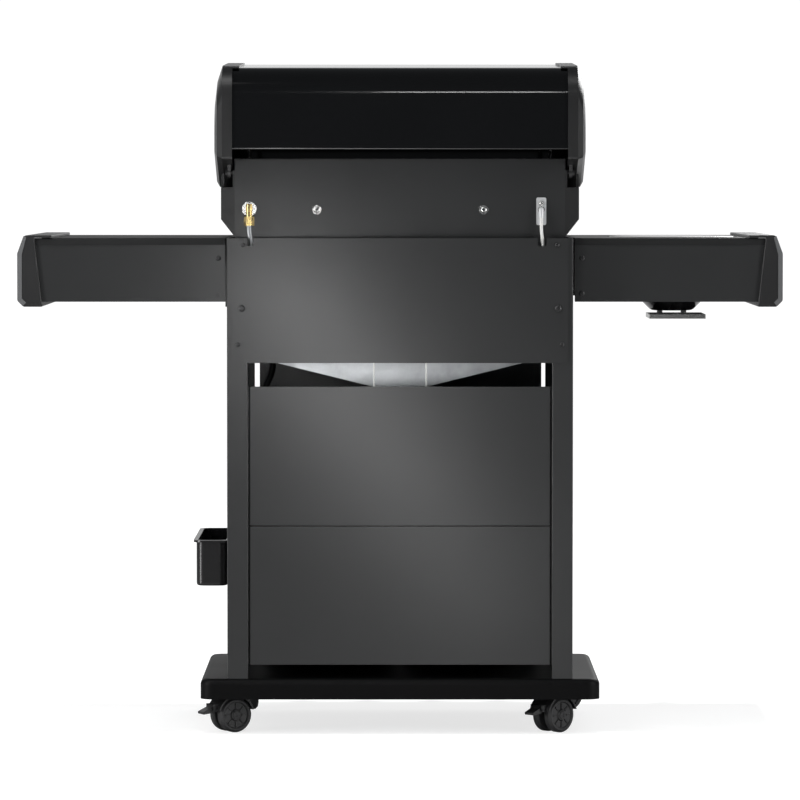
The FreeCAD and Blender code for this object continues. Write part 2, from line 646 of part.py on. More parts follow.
def knob(name):
    x, d = KNOBS[name], knob_back(name)
    profile = [(0, 0), (KNOB_R, 0, 1.0), (KNOB_R, 7, 2.0), (KNOB_R - 5, 12, 3), (KNOB_R - 6.5, KNOB_L, 3), (0, KNOB_L)]
    body = turned(profile, at(x, d, KNOB_Z), V(0, -1, 0))
    scoops = [slab(x + s * 8, x + s * 40, d + 15, d + KNOB_L + 1, KNOB_Z - 40, KNOB_Z + 40) for s in (1, -1)]
    body = body.cut(scoops[0]).cut(scoops[1])
    bore_end = d + KNOB_L - KNOB_FRONT + KNOB_PUSH + 0.5
    bore = rod(at(x, d - 1, KNOB_Z), at(x, bore_end, KNOB_Z), VALVE_STEM_R + PIN_GAP)
    key = slab(x - 10, x + 10, d - 2, d + KNOB_L, KNOB_Z + VALVE_STEM_R - STEM_FLAT + PIN_GAP,
               KNOB_Z + 10)
    return body.cut(bore.cut(key)).cut(rod(at(x, d - 1, KNOB_Z), at(x, d + 6, KNOB_Z), VALVE_STEM_R + 3))


def manifold():
    """Gas pipe with a valve at each knob and a jet that feeds each burner."""
    pipe = rod(at(-KNOB_PITCH * 1.5 - 30, MANIFOLD_D, KNOB_Z), at(HOSE_X, MANIFOLD_D, KNOB_Z), 9.0)
    pipe = pipe.fuse([Part.makeSphere(9.0, at(HOSE_X, MANIFOLD_D, KNOB_Z)),
                      rod(at(HOSE_X, MANIFOLD_D, KNOB_Z), at(HOSE_X, MANIFOLD_D - 17, KNOB_Z - 8), 8.0)])
    made = [pipe]
    for name, x in KNOBS.items():
        front = valve_front(name)
        if name == "side_burner":
            body = rod(at(x, front - 40, KNOB_Z), at(x, front, KNOB_Z), 11.0)
        else:
            body = slab(x - 13, x + 13, MANIFOLD_D - 13, front, KNOB_Z - 13, KNOB_Z + 13)
            if name != "rear_burner":
                body = body.fuse(rod(at(x, MANIFOLD_D, KNOB_Z), at(x, MANIFOLD_D - 24, KNOB_Z), 4.5))
        body = body.cut(rod(at(x, front - 14, KNOB_Z), at(x, front + 1, KNOB_Z), VALVE_STEM_R + PIN_GAP))
        made.append(body)
    main = fused(made[0], *[m for n, m in zip(KNOBS, made[1:]) if n != "side_burner"])
    return [main, made[-1]]


def igniter_button():
    x, front = IGNITER_X, PANEL_FRONT
    profile = [(0, -26), (4, -26), (4, -6), (IGNITER_R, -6), (IGNITER_R, 5, 2), (0, 5)]
    return turned(profile, at(x, front, KNOB_Z), V(0, -1, 0))


# ---- firebox ------------------------------------------------------------------------------------------
TUB_REAR_LOW = 90.0        # the walls slope in to these depths at the bottom
TUB_FRONT_LOW = TUB_FRONT - 150.0
TUB_KNEE = CART_TOP - 34.0
BURNERS_X = [x for n, x in KNOBS.items() if n.startswith("burner")]


def tub_path():
    return [(TUB_FRONT - 14, TUB_FRONT_TOP), (TUB_FRONT, TUB_FRONT_TOP, 2), (TUB_FRONT, TUB_KNEE, 8),
            (TUB_FRONT_LOW, TUB_Z, 8), (TUB_REAR_LOW, TUB_Z, 8), (TUB_REAR, TUB_KNEE, 8), (TUB_REAR, TUB_TOP, 1.5),
            (TUB_REAR + 10, TUB_TOP)]


def firebox_tub():
    """Folded steel tub, open at the top, its floor open over the drip pan."""
    path = tub_path()
    shell = along_x(strip(path, -TUB_SHEET), -TUB_X, TUB_X)
    walls = [(TUB_FRONT, TUB_FRONT_TOP), (TUB_FRONT, TUB_KNEE, 8), (TUB_FRONT_LOW, TUB_Z, 8),
             (TUB_REAR_LOW, TUB_Z, 8), (TUB_REAR, TUB_KNEE, 8), (TUB_REAR, TUB_TOP),
             (LID_AXIS_D + 26, TUB_TOP), (LID_AXIS_D + 115, TUB_FRONT_TOP)]
    plates = [along_x(walls, x, x + TUB_SHEET) for x in (-TUB_X, TUB_X - TUB_SHEET)]
    tub = fused(shell, *plates)
    tub = tub.cut(slab(-TUB_X + 40, TUB_X - 40, TUB_REAR_LOW + 30, TUB_FRONT_LOW - 30, TUB_Z - 5, TUB_Z + 10))
    for x in BURNERS_X:
        tub = tub.cut(rod(at(x, TUB_FRONT - 70, BURNER_Z), at(x, TUB_FRONT + 5, BURNER_Z), BURNER_R + 2))
    for x in TUB_SCREWS_X:
        tub = tub.cut(rod(at(x, TUB_REAR - 5, TUB_SCREW_Z), at(x, TUB_REAR + 5, TUB_SCREW_Z), TUB_SCREW_R / 2))
    return tub.cut(rod(at(GAS_X, TUB_REAR - 5, FITTING_Z), at(GAS_X, TUB_REAR + 5, FITTING_Z), 4.9))


def end_outline(inset, lift=0.0):
    """Section of a cast firebox end, its lower edge lifted; its upper edge runs under the lid's end cap."""
    bottom = CART_TOP + 2 + inset + lift
    low = CAP_SIDE_Z - LID_SEAM
    slope = (CAP_REAR_Z - CAP_SIDE_Z) / (CAP_KNEE_D + LID_REACH + CAP_PROUD)
    top = low + (CAP_KNEE_D - TUB_REAR) * slope
    return [(TUB_REAR + inset * 0.2, bottom), (TUB_FRONT - inset, bottom, 10),
            (TUB_FRONT + 6 - inset, low, 4), (CAP_KNEE_D, low, 30), (TUB_REAR + inset * 0.2, top, 3)]


def flat_at(x):
    """The upright plane across the grill at x."""
    return lambda d, z: at(x, d, z)


def loft(outlines, places):
    """A solid skinned through outlines of one make, each with its own place."""
    wires = [Part.Wire(edges(o, p)) for o, p in zip(outlines, places)]
    return Part.makeLoft(wires, True, True)


def firebox_end():
    """Right-hand cast end: a hollow shell flared out at the bottom, pocketed at the top for the lid's ear."""
    x0, plate = TUB_X, LID_X - TUB_X - 0.4
    x1 = x0 + END_REACH
    outer = loft([end_outline(0), end_outline(5, END_FLARE)], [flat_at(x0), flat_at(x1)])
    hollow = loft([end_outline(END_T), end_outline(END_T + 4, END_FLARE)], [flat_at(x0 - 1), flat_at(x1 - END_T)])
    body = outer.cut(hollow)
    web = slab(x0, x0 + plate, TUB_REAR, 80, LID_AXIS_Z - 50, CAP_REAR_Z).common(outer)
    body = body.fuse(web)
    body = body.cut(slab(x0 + plate, x1 + 10, TUB_REAR - 10, LID_AXIS_D + 18, LID_AXIS_Z - 27, TUB_TOP + 10))
    return body.cut(rod(at(x0 - 1, LID_AXIS_D, LID_AXIS_Z), at(x0 + 12, LID_AXIS_D, LID_AXIS_Z), LID_PIN_R))


def main_burners():
    """Three tube burners with pressed port rows, each with a mouth that sits on its valve's jet."""
    made = []
    for x in BURNERS_X:
        burner = rod(at(x, TUB_REAR + 45, BURNER_Z), at(x, MANIFOLD_D - 16, BURNER_Z), BURNER_R)
        bore = rod(at(x, TUB_REAR + 47, BURNER_Z), at(x, MANIFOLD_D - 15, BURNER_Z), BURNER_R - 1.5)
        tail = slab(x - 8, x + 8, TUB_REAR + 30, TUB_REAR + 46, BURNER_Z - 1.5, BURNER_Z + 1.5)
        made.append(burner.cut(bore).fuse(tail))
    return made


def burner_rests():
    """Brackets across the tub's rear that hold the burners' tails."""
    d = TUB_REAR + 34
    outline = [(-TUB_X + TUB_SHEET, BURNER_Z - 16), (TUB_X - TUB_SHEET, BURNER_Z - 16),
               (TUB_X - TUB_SHEET, BURNER_Z - 1.5), (-TUB_X + TUB_SHEET, BURNER_Z - 1.5)]
    return along_d(outline, d, d + 4)


def sear_plates():
    """Roof-shaped plates over the burners."""
    made = []
    for x in BURNERS_X:
        roof = strip([(x - 45, BURNER_Z + 28, 0), (x, BURNER_Z + 58, 4), (x + 45, BURNER_Z + 28, 0)], 1.5)
        made.append(along_d(roof, TUB_REAR + 12, TUB_FRONT - 12))
    return made


def plate_ledges():
    """Ledges on the front and rear walls that carry the sear plates and the grids."""
    made = []
    for z, deep in ((BURNER_Z + 28, 16.0), (GRID_Z, 12.0)):
        for wall, step in ((TUB_REAR + TUB_SHEET, 1), (TUB_FRONT - TUB_SHEET, -1)):
            made.append(slab(-TUB_X + 6, TUB_X - 6, wall, wall + step * deep, z - 2.0, z))
    return made


def cooking_grids():
    """Two cast grids of straight bars."""
    d0, d1 = TUB_REAR + 6, TUB_FRONT - 6
    made = []
    for s in (-1, 1):
        x0, x1 = sorted((s * 2.0, s * (TUB_X - 8)))
        grid = slab(x0, x1, d0, d1, GRID_Z, GRID_Z + GRID_BAR + 4)
        bars = 14
        pitch = (x1 - x0 - GRID_BAR) / bars
        slots = [slab(x0 + GRID_BAR + i * pitch, x0 + (i + 1) * pitch, d0 + 12, d1 - 12, GRID_Z - 1, GRID_Z + 30)
                 for i in range(bars)]
        grid = grid.cut(Part.makeCompound(slots))
        middle = (d0 + d1) / 2
        made.append(fused(grid, slab(x0, x1, middle - 5, middle + 5, GRID_Z, GRID_Z + GRID_BAR)))
    return made


def warming_rack():
    """Wire rack that stands on the firebox's rear ledge."""
    half, d0, d1, r = TUB_X - 22, 92.0, 215.0, 3.0
    frame = [rod(at(-half, d, RACK_Z), at(half, d, RACK_Z), r) for d in (d0, d1)]
    rungs = 18
    step = 2 * half / rungs
    frame += [rod(at(-half + i * step, d0, RACK_Z), at(-half + i * step, d1, RACK_Z), r if i in (0, rungs) else 2.0)
              for i in range(rungs + 1)]
    for x in (-half, half):
        for d in (d0, d1):
            frame.append(rod(at(x, d, GRID_Z + GRID_BAR + 4), at(x, d, RACK_Z), r))
            frame.append(Part.makeSphere(r, at(x, d, RACK_Z)))
    return frame[0].fuse(frame[1:])


def rear_burner():
    """Ceramic rear burner in a steel box on the firebox's rear wall."""
    d0 = TUB_REAR + TUB_SHEET
    low, high, half = GRID_Z + 16, TUB_TOP - 4, 195.0
    box = slab(-half, half, d0 + 12.5, d0 + 36, low, high)
    box = box.cut(slab(-half + 2, half - 2, d0 + 14.5, d0 + 40, low + 2, high - 2))
    tile = slab(-half + 2, half - 2, d0 + 24, d0 + 32, low + 2, high - 2)
    return [box, tile]


# ---- rear gas fitting and igniter ---------------------------------------------------------------------
GAS_IN = 26.0              # gas elbow from the firebox's side
GAS_X = TUB_X - GAS_IN
FITTING_RISE = 52.5
FITTING_Z = CART_TOP + FITTING_RISE
LEAD_IN = 43.0
LEAD_X = LEAD_IN - TUB_X
TUB_SCREWS_X = (149.5, -150.5)
TUB_SCREW_Z = CART_TOP + 51.0
TUB_SCREW_R = 6.0
HOSE_IN = 53.0             # hose's start from the cart's side
HOSE_X = CART_X - HOSE_IN


def gas_inlet_fitting():
    """Elbow of the rear burner's gas line, with its washer and flare nut."""
    back = TUB_REAR
    washer = rod(at(GAS_X, back, FITTING_Z), at(GAS_X, back - 2.5, FITTING_Z), 13.0)
    neck = rod(at(GAS_X, back - 2.5, FITTING_Z), at(GAS_X, back - 14, FITTING_Z), 5.7)
    drop = rod(at(GAS_X, back - 10, FITTING_Z + 8), at(GAS_X, back - 10, FITTING_Z - 14), 5.7)
    hexagon = [(GAS_X + 9.2 * cos(radians(a)), back - 10 + 9.2 * sin(radians(a))) for a in range(0, 360, 60)]
    nut = along_z(hexagon, FITTING_Z - 30, FITTING_Z - 14)
    inlet = rod(at(GAS_X, back, FITTING_Z), at(GAS_X, back + 15.5, FITTING_Z), 4.9)
    return [fused(washer, neck, drop, inlet), nut]


def rear_gas_tube():
    """Rigid tube from the flare nut down behind the firebox and forwards to its valve."""
    side = (TUB_X + CART_X - SHEET) / 2
    valve = KNOBS["rear_burner"]
    return tube([at(GAS_X, TUB_REAR - 10, FITTING_Z - 30), at(GAS_X, TUB_REAR - 10, 906), at(265.5, 8, 872),
                 at(266, 18, 826), at(299, 42, 782), at(side, 92, 768), at(side, 155, 764), at(side, 250, 768),
                 at(side, 350, 780), at(side - 1, 440, 804), at(288, 484, 797), at(240, 503, 788),
                 at(valve + 22, MANIFOLD_D, 786), at(valve, MANIFOLD_D, 800), at(valve, MANIFOLD_D, KNOB_Z - 13)],
                TUBE_DIA, "rear_gas_tube")


def igniter_plate():
    """Cover plate of the rear igniter with its rounded corners, and the electrode's ceramic."""
    back = TUB_REAR
    z1 = FITTING_Z + 20.5
    plate = along_d(rectangle(LEAD_X - 9, LEAD_X + 9, z1 - 49.5, z1, 3), back - 2, back)
    boot = rod(at(LEAD_X, back - 2, z1 - 22), at(LEAD_X, back - 8, z1 - 22), 4.5)
    boot = boot.fuse([Part.makeSphere(4.5, at(LEAD_X, back - 8, z1 - 22)),
                      rod(at(LEAD_X, back - 8, z1 - 22), at(LEAD_X, back - 8, z1 - 36), 4.5)])
    head = screw(at(LEAD_X, back - 2, z1 - 10.5), 5.0, 3.0, 1.9, V(0, 1, 0))
    return [plate.cut(rod(at(LEAD_X, back - 3, z1 - 10.5), at(LEAD_X, back, z1 - 10.5), 2.5)), boot, head]


def igniter_lead():
    """Insulated lead from the electrode's boot to the igniter behind the control panel."""
    side = -(TUB_X + CART_X - SHEET) / 2
    x, d = LEAD_X, TUB_REAR - 8
    return tube([at(x, d, FITTING_Z - 15.5), at(x, d, 910), at(x - 3, 3, 878), at(x - 6, 10, 838),
                 at(x - 16, 26, 802), at(-292, 52, 780), at(side, 105, 776), at(side, 175, 774), at(side, 255, 777),
                 at(side, 345, 786), at(side + 1, 430, 806), at(-288, 474, 828), at(IGNITER_X, 500, KNOB_Z),
                 at(IGNITER_X, PANEL_FRONT - 45, KNOB_Z)], LEAD_DIA, "igniter_lead")


# ---- drip pan and grease cup --------------------------------------------------------------------------
PAN_TOP = RAIL_Z + SHEET + PAN_SHEET
DRAIN_D = PAN_REAR + 48.0


def drip_pan():
    """V-bottomed pan that hangs on its rails by its side flanges."""
    half, flat = PAN_W / 2, PAN_FLAT / 2
    side = half - 10
    rise = PAN_Z + (side - flat) * PAN_SLOPE
    path = [(-half - 12, PAN_TOP), (-side, PAN_TOP), (-side, rise), (-flat, PAN_Z, 6), (flat, PAN_Z, 6), (side, rise),
            (side, PAN_TOP), (half + 12, PAN_TOP)]
    pan = along_d(strip(path, -PAN_SHEET), PAN_REAR, PAN_REAR + PAN_D)
    inside = [(-side, PAN_TOP), (-side, rise), (-flat, PAN_Z, 6), (flat, PAN_Z, 6), (side, rise), (side, PAN_TOP)]
    walls = [along_d(inside, d, d + PAN_SHEET) for d in (PAN_REAR, PAN_REAR + PAN_D - PAN_SHEET)]
    pan = fused(pan, *walls)
    return pan.cut(rod(at(0, DRAIN_D, PAN_Z - 5), at(0, DRAIN_D, PAN_Z + 5), 15.0))


def grease_cup():
    """Pressed cup on two wire hangers that hook over the pan's rear wall."""
    rim = PAN_Z - CUP_DROP
    half = CUP_W / 2
    d0, d1 = PAN_REAR + 4, PAN_REAR + 4 + CUP_W
    mid = (d0 + d1) / 2
    outer = [Part.Wire(edges(rectangle(-h, h, mid - h, mid + h, 12), lambda x, d, z=z: at(x, d, z)))
             for h, z in ((half - 8, rim - CUP_H), (half, rim))]
    inner = [Part.Wire(edges(rectangle(-h, h, mid - h, mid + h, 11), lambda x, d, z=z: at(x, d, z)))
             for h, z in ((half - 9, rim - CUP_H + 1), (half - 1, rim + 0.1))]
    cup = Part.makeLoft(outer, True, True).cut(Part.makeLoft(inner, True, True))
    brim = along_z(rectangle(-half - 6, half + 6, mid - half - 1, mid + half + 1, 6), rim - 1, rim)
    brim = brim.cut(along_z(rectangle(-half + 1, half - 1, mid - half + 1, mid + half - 1, 11), rim - 3, rim + 1))
    cup = cup.fuse(brim)
    made = [cup]
    reach = WIRE_R + WIRE_GAP
    low, high = rim - 1 - WIRE_R, PAN_TOP + reach
    back, ahead = PAN_REAR - reach, PAN_REAR + PAN_SHEET + reach
    for x in (half + 2 * reach - WIRE_R, -half - 2 * reach + WIRE_R):
        runs = [rod(at(x, back, low), at(x, back, high), WIRE_R), rod(at(x, back, high), at(x, ahead, high), WIRE_R),
                rod(at(x, ahead, high), at(x, ahead, PAN_TOP - 14), WIRE_R),
                rod(at(x, back, low), at(x, d1 + 4, low), WIRE_R)]
        knots = [Part.makeSphere(WIRE_R, at(x, d, z)) for d, z in ((back, low), (back, high), (ahead, high))]
        made.append(runs[0].fuse(runs[1:] + knots))
    return made


# ---- lid ----------------------------------------------------------------------------------------------
LID_CREST_D = LID_FRONT - 160.0
SLOPE_D = 45.0             # the flat slope at the lid's front, that holds the dial
SLOPE_H = 100.0
SLOPE_TOP = 23.0           # its upper end, under the lid's crest
DIAL_NECK_R = 9.0


def lid_path():
    """The lid sheet's outer face, from its rear hem over the top to its front hem."""
    top = LID_TOP_Z
    return [(-LID_REACH + 10, LID_REAR_Z), (-LID_REACH, LID_REAR_Z, 2.5), (-LID_REACH, top - 14, 54),
            (LID_CREST_D, top, 120), (LID_FRONT - SLOPE_D, top - SLOPE_TOP, 70),
            (LID_FRONT, top - SLOPE_TOP - SLOPE_H, 80), (LID_FRONT, LID_FRONT_Z, 2.5), (LID_FRONT - 10, LID_FRONT_Z)]


def lid_shell():
    shell = along_x(strip(lid_path(), -LID_SHEET), -LID_X, LID_X)
    foot, way = dial_place()
    return shell.cut(rod(foot - way * 10, foot + way * 10, DIAL_NECK_R))


def cap_outline(rear, top, front, low):
    """Section of an end cap, drawn in by an amount at each side."""
    p, crest = CAP_PROUD, LID_TOP_Z + CAP_PROUD - top
    back, nose = -LID_REACH - p + rear, LID_FRONT + p - front
    return [(back, CAP_REAR_Z + low, 5), (back, crest - 14, 56), (LID_CREST_D, crest, 110),
            (LID_FRONT - SLOPE_D + 2 - front * 0.6, crest - SLOPE_TOP, 66),
            (nose, crest - SLOPE_TOP - SLOPE_H - 2, 76), (nose, CAP_SIDE_Z + low, 9),
            (CAP_KNEE_D, CAP_SIDE_Z + low, 40)]


def lid_end_cap():
    """Right-hand cast cap: a rim along the sheet and a domed side, hollow inside, with the hinge ear."""
    x0, w = LID_X, CAP_WALL
    x1, x2, x3 = x0 + CAP_RIM, x0 + CAP_RIM + CAP_DOME * 0.65, x0 + CAP_RIM + CAP_DOME
    rim = along_x(cap_outline(0, 0, 0, 0), x0, x1)
    dome = [cap_outline(0, 0, 0, 0), cap_outline(9, 28, 9, 4), cap_outline(30, 66, 34, 13)]
    dome = loft(dome[:2], [flat_at(x1), flat_at(x2)]).fuse(loft(dome[1:], [flat_at(x2), flat_at(x3)]))
    inside = along_x(cap_outline(w, w, w, w), x0 - 1, x1 - 1)
    inner = [cap_outline(w, w, w, w), cap_outline(w + 9, w + 28, w + 9, w + 4),
             cap_outline(w + 30, w + 64, w + 34, w + 13)]
    inner = loft(inner[:2], [flat_at(x1 - 1), flat_at(x2 - 2)]).fuse(loft(inner[1:], [flat_at(x2 - 2), flat_at(x3 - w)]))
    lip = along_x(cap_outline(0, 0, 0, 0), x0 - CAP_LIP, x0).cut(along_x(lid_path(), x0 - CAP_LIP - 1, x0 + 1))
    lip = lip.common(slab(x0 - CAP_LIP, x0, 0, LID_FRONT, LID_TOP_Z - CAP_LIP_DROP, LID_TOP_Z + 2 * CAP_PROUD))
    cap = rim.fuse(dome).cut(inside.fuse(inner)).fuse(lip)
    ear = rod(at(x0 + 3, LID_AXIS_D, LID_AXIS_Z), at(x0 + 9, LID_AXIS_D, LID_AXIS_Z), LID_PIN_R + 7)
    ear = ear.fuse(along_x([(LID_AXIS_D - 10, LID_AXIS_Z), (LID_AXIS_D + 10, LID_AXIS_Z),
                            (LID_AXIS_D + 16, LID_AXIS_Z + 20), (LID_AXIS_D - 16, LID_AXIS_Z + 26)], x0 + 3, x0 + 9))
    cap = cap.fuse(ear)
    return cap.cut(rod(at(x0 - 5, LID_AXIS_D, LID_AXIS_Z), at(x0 + 16, LID_AXIS_D, LID_AXIS_Z), LID_PIN_R + PIN_GAP))


def lid_pins():
    made = []
    for s in (1, -1):
        pin = rod(at(s * TUB_X, LID_AXIS_D, LID_AXIS_Z), at(s * (LID_X + 10), LID_AXIS_D, LID_AXIS_Z), LID_PIN_R)
        head = rod(at(s * (LID_X + 9.4), LID_AXIS_D, LID_AXIS_Z), at(s * (LID_X + 13), LID_AXIS_D, LID_AXIS_Z),
                   LID_PIN_R + 3)
        made.append(pin.fuse(head))
    return made


def lid_handle():
    """Tube handle on two cast stands bolted to the lid's front."""
    z, d = LID_FRONT_Z + 62, LID_FRONT + HANDLE_STAND
    half = HANDLE_L / 2
    bar = rod(at(-half, d, z), at(half, d, z), HANDLE_R)
    ends = [e for e in bar.Edges if abs(abs(e.BoundBox.Center.x) - half) < 0.1 and e.BoundBox.XLength < 0.1]
    bar = bar.makeFillet(3.0, ends)
    made = [bar]
    for s in (1, -1):
        x = s * (half - 32)
        stand = along_x([(LID_FRONT, z - 22, 3), (LID_FRONT, z + 22, 3), (d + 2, z + 11, 8), (d + 2, z - 13, 8)],
                        x - 11, x + 11)
        stand = stand.cut(rod(at(x - 20, d, z), at(x + 20, d, z), HANDLE_R))
        made.append(stand)
    return made


def dial_place():
    """Foot and outward direction of the dial, at the middle of the lid's slope."""
    foot = at(0, LID_FRONT - SLOPE_D / 2, LID_TOP_Z - SLOPE_TOP - SLOPE_H / 2)
    return foot, V(0, -SLOPE_H, SLOPE_D).normalize()


def thermometer():
    """Dial thermometer in the sloping part of the lid's front."""
    foot, way = dial_place()
    profile = [(0, -60), (3, -60), (3, -4), (DIAL_NECK_R, -4), (DIAL_NECK_R, 0), (34, 0), (36, 2, 1), (36, 10, 2),
               (31, 11.5), (30, 8), (0, 8)]
    return turned(profile, foot, way)


# ---- shelves ------------------------------------------------------------------------------------------
SHELF_END = SHELF_X + SHELF_L
BRACKET_T = 3.0


def shelf_frame(folds):
    """Front and rear aprons with bottom lips, and cross rails; the folding one is open at the cart."""
    end = SHELF_END - 12
    corner = 10.0 if folds else 1.0
    top = SHELF_TOP - 2 * SHELF_SHEET
    outline = [(SHELF_X, SHELF_Z, corner), (end, SHELF_Z), (end, top), (SHELF_X, top)]
    lip_x = FOLD_X + 17 if folds else SHELF_X + 2
    pieces = []
    for d, step in ((SHELF_REAR, 1), (SHELF_FRONT, -1)):
        pieces.append(along_d(outline, d, d + step * SHELF_SHEET))
        pieces.append(slab(lip_x, end, d + step * SHELF_SHEET * 0.5, d + step * 14, SHELF_Z, SHELF_Z + SHELF_SHEET))
    first = FOLD_X + 50 if folds else SHELF_X
    for x, low in ((first, SHELF_Z + 20), (end - 30, SHELF_Z + 20)):
        pieces.append(slab(x, x + SHELF_SHEET, SHELF_REAR + 0.5, SHELF_FRONT - 0.5, low, top))
    frame = fused(pieces[0], *pieces[1:])
    if folds:
        frame = frame.cut(rod(at(FOLD_X, 0, FOLD_Z), at(FOLD_X, CART_D + 200, FOLD_Z), FOLD_PIN_R + PIN_GAP))
    return frame


def shelf_top():
    low = SHELF_TOP - SHELF_LIP
    rear, front = SHELF_REAR - SHELF_SHEET, SHELF_FRONT + SHELF_SHEET
    path = [(rear, low), (rear, SHELF_TOP, SHELF_BEND), (front, SHELF_TOP, SHELF_BEND), (front, low)]
    top = along_x(strip(path, -SHELF_SHEET), SHELF_X, SHELF_END - 10)
    return top.cut(slab(SHELF_END - 2 * CAP_LEN - 0.3, SHELF_END, rear + SHELF_BEND, front - SHELF_BEND,
                        SHELF_TOP - 2 * SHELF_SHEET, SHELF_TOP + 1))


def shelf_cap():
    """Moulded end cap that slips over the shelf's end, with a raised lip on top."""
    end, low, top = SHELF_END, SHELF_Z - 9, SHELF_TOP + 5
    rear, front = SHELF_REAR - SHELF_SHEET - 4, SHELF_FRONT + SHELF_SHEET + 4
    outline = [(end - CAP_LEN - 14, low, 2), (end - 11, low, 7), (end, SHELF_Z + 2, 7), (end, SHELF_TOP - 28, 10),
               (end - 12, top, 8), (end - 2 * CAP_LEN, top, 2), (end - 2 * CAP_LEN, SHELF_TOP + 0.3),
               (end - CAP_LEN, SHELF_TOP + 0.3)]
    cap = along_d(outline, rear, front)
    rims = [e for e in cap.Edges if e.BoundBox.YLength < 0.1 and e.BoundBox.XMax > end - CAP_LEN + 1
            and (abs(e.BoundBox.Center.y - (REAR_Y - rear)) < 0.1 or abs(e.BoundBox.Center.y - (REAR_Y - front)) < 0.1)]
    cap = cap.makeFillet(2.0, rims)
    inside = slab(end - 3 * CAP_LEN, end - 6, SHELF_REAR - SHELF_SHEET - 0.3, SHELF_FRONT + SHELF_SHEET + 0.3,
                  SHELF_Z - 0.3, SHELF_TOP + 0.3)
    return cap.cut(inside)


def fold_brackets():
    """Plates on the cart's right side that carry the folding shelf's pins, with a stop under the rear one."""
    made = []
    for d, step, end in ((SHELF_REAR + SHELF_SHEET + 0.5, 1, SHELF_REAR + 42.0),
                         (SHELF_FRONT - SHELF_SHEET - 0.5, -1, CART_D - 70.0)):
        outline = [(CART_X, SHELF_Z, 1), (FOLD_X + 15, SHELF_Z, 4), (FOLD_X + 15, FOLD_Z + 16, 6), (CART_X, FOLD_Z + 60)]
        plate = along_d(outline, d, d + step * BRACKET_T)
        foot = slab(CART_X, CART_X + 2, d, end, SHELF_Z + 6, FOLD_Z + 56)
        plate = fused(plate, foot)
        if step > 0:
            plate = plate.fuse(slab(CART_X, CART_X + 4, d, d + 12, SHELF_Z - 9, SHELF_Z + 10))
        made.append(plate.cut(rod(at(FOLD_X, 0, FOLD_Z), at(FOLD_X, CART_D + 200, FOLD_Z), FOLD_PIN_R)))
    return made


def fold_pins():
    rear, front = SHELF_REAR, SHELF_FRONT
    return [rod(at(FOLD_X, rear - 1.5, FOLD_Z), at(FOLD_X, rear + 10, FOLD_Z), FOLD_PIN_R),
            rod(at(FOLD_X, front + 1.5, FOLD_Z), at(FOLD_X, front - 10, FOLD_Z), FOLD_PIN_R)]


# ---- side burner, on the left shelf -------------------------------------------------------------------
SIDE_AXIS_D = SIDE_D - SIDE_RIM_R - 6.0
SIDE_AXIS_Z = SHELF_TOP - 3.0
SIDE_BARREL = 30.0


def side_top():
    """The left shelf's top, opened for the side burner, with the ears and pin of the cover's hinge."""
    top = mirrored(shelf_top())
    top = top.cut(rod(at(-SIDE_X, SIDE_D, SHELF_TOP - 5), at(-SIDE_X, SIDE_D, SHELF_TOP + 5), SIDE_RIM_R + 2))
    notch = SIDE_BARREL + 6
    top = top.cut(slab(-SIDE_X - notch, -SIDE_X + notch, SIDE_AXIS_D - 7, SIDE_D - SIDE_RIM_R * 0.8,
                       SHELF_TOP - 5, SHELF_TOP + 5))
    ears = [slab(-SIDE_X + s * (SIDE_BARREL + 1.5), -SIDE_X + s * (notch + 1), SIDE_AXIS_D - 4, SIDE_AXIS_D + 4,
                 SHELF_TOP - 10, SHELF_TOP - 0.5) for s in (1, -1)]
    pin = rod(at(-SIDE_X - notch, SIDE_AXIS_D, SIDE_AXIS_Z), at(-SIDE_X + notch, SIDE_AXIS_D, SIDE_AXIS_Z), 1.5)
    return top.fuse(ears + [pin])


def side_burner_lid():
    """Round pressed cover that lies in the bowl's rim, with its hinge barrel."""
    r = SIDE_RIM_R - BOWL_SHEET - 1.5
    disc = turned([(0, SHELF_TOP - 0.5), (r - 1.5, SHELF_TOP - 0.5), (r - 1.5, SHELF_TOP - 6), (r, SHELF_TOP - 6),
                   (r, SHELF_TOP + 1, 2), (0, SHELF_TOP + 1)], at(-SIDE_X, SIDE_D, 0), V(0, 0, 1))
    barrel = rod(at(-SIDE_X - SIDE_BARREL, SIDE_AXIS_D, SIDE_AXIS_Z),
                 at(-SIDE_X + SIDE_BARREL, SIDE_AXIS_D, SIDE_AXIS_Z), 3.0)
    tab = slab(-SIDE_X - SIDE_BARREL, -SIDE_X + SIDE_BARREL, SIDE_AXIS_D, SIDE_D - SIDE_RIM_R + 12,
               SHELF_TOP - 1.5, SHELF_TOP)
    lid = disc.fuse([barrel, tab])
    return lid.cut(rod(at(-SIDE_X - 60, SIDE_AXIS_D, SIDE_AXIS_Z), at(-SIDE_X + 60, SIDE_AXIS_D, SIDE_AXIS_Z),
                       1.5 + PIN_GAP))


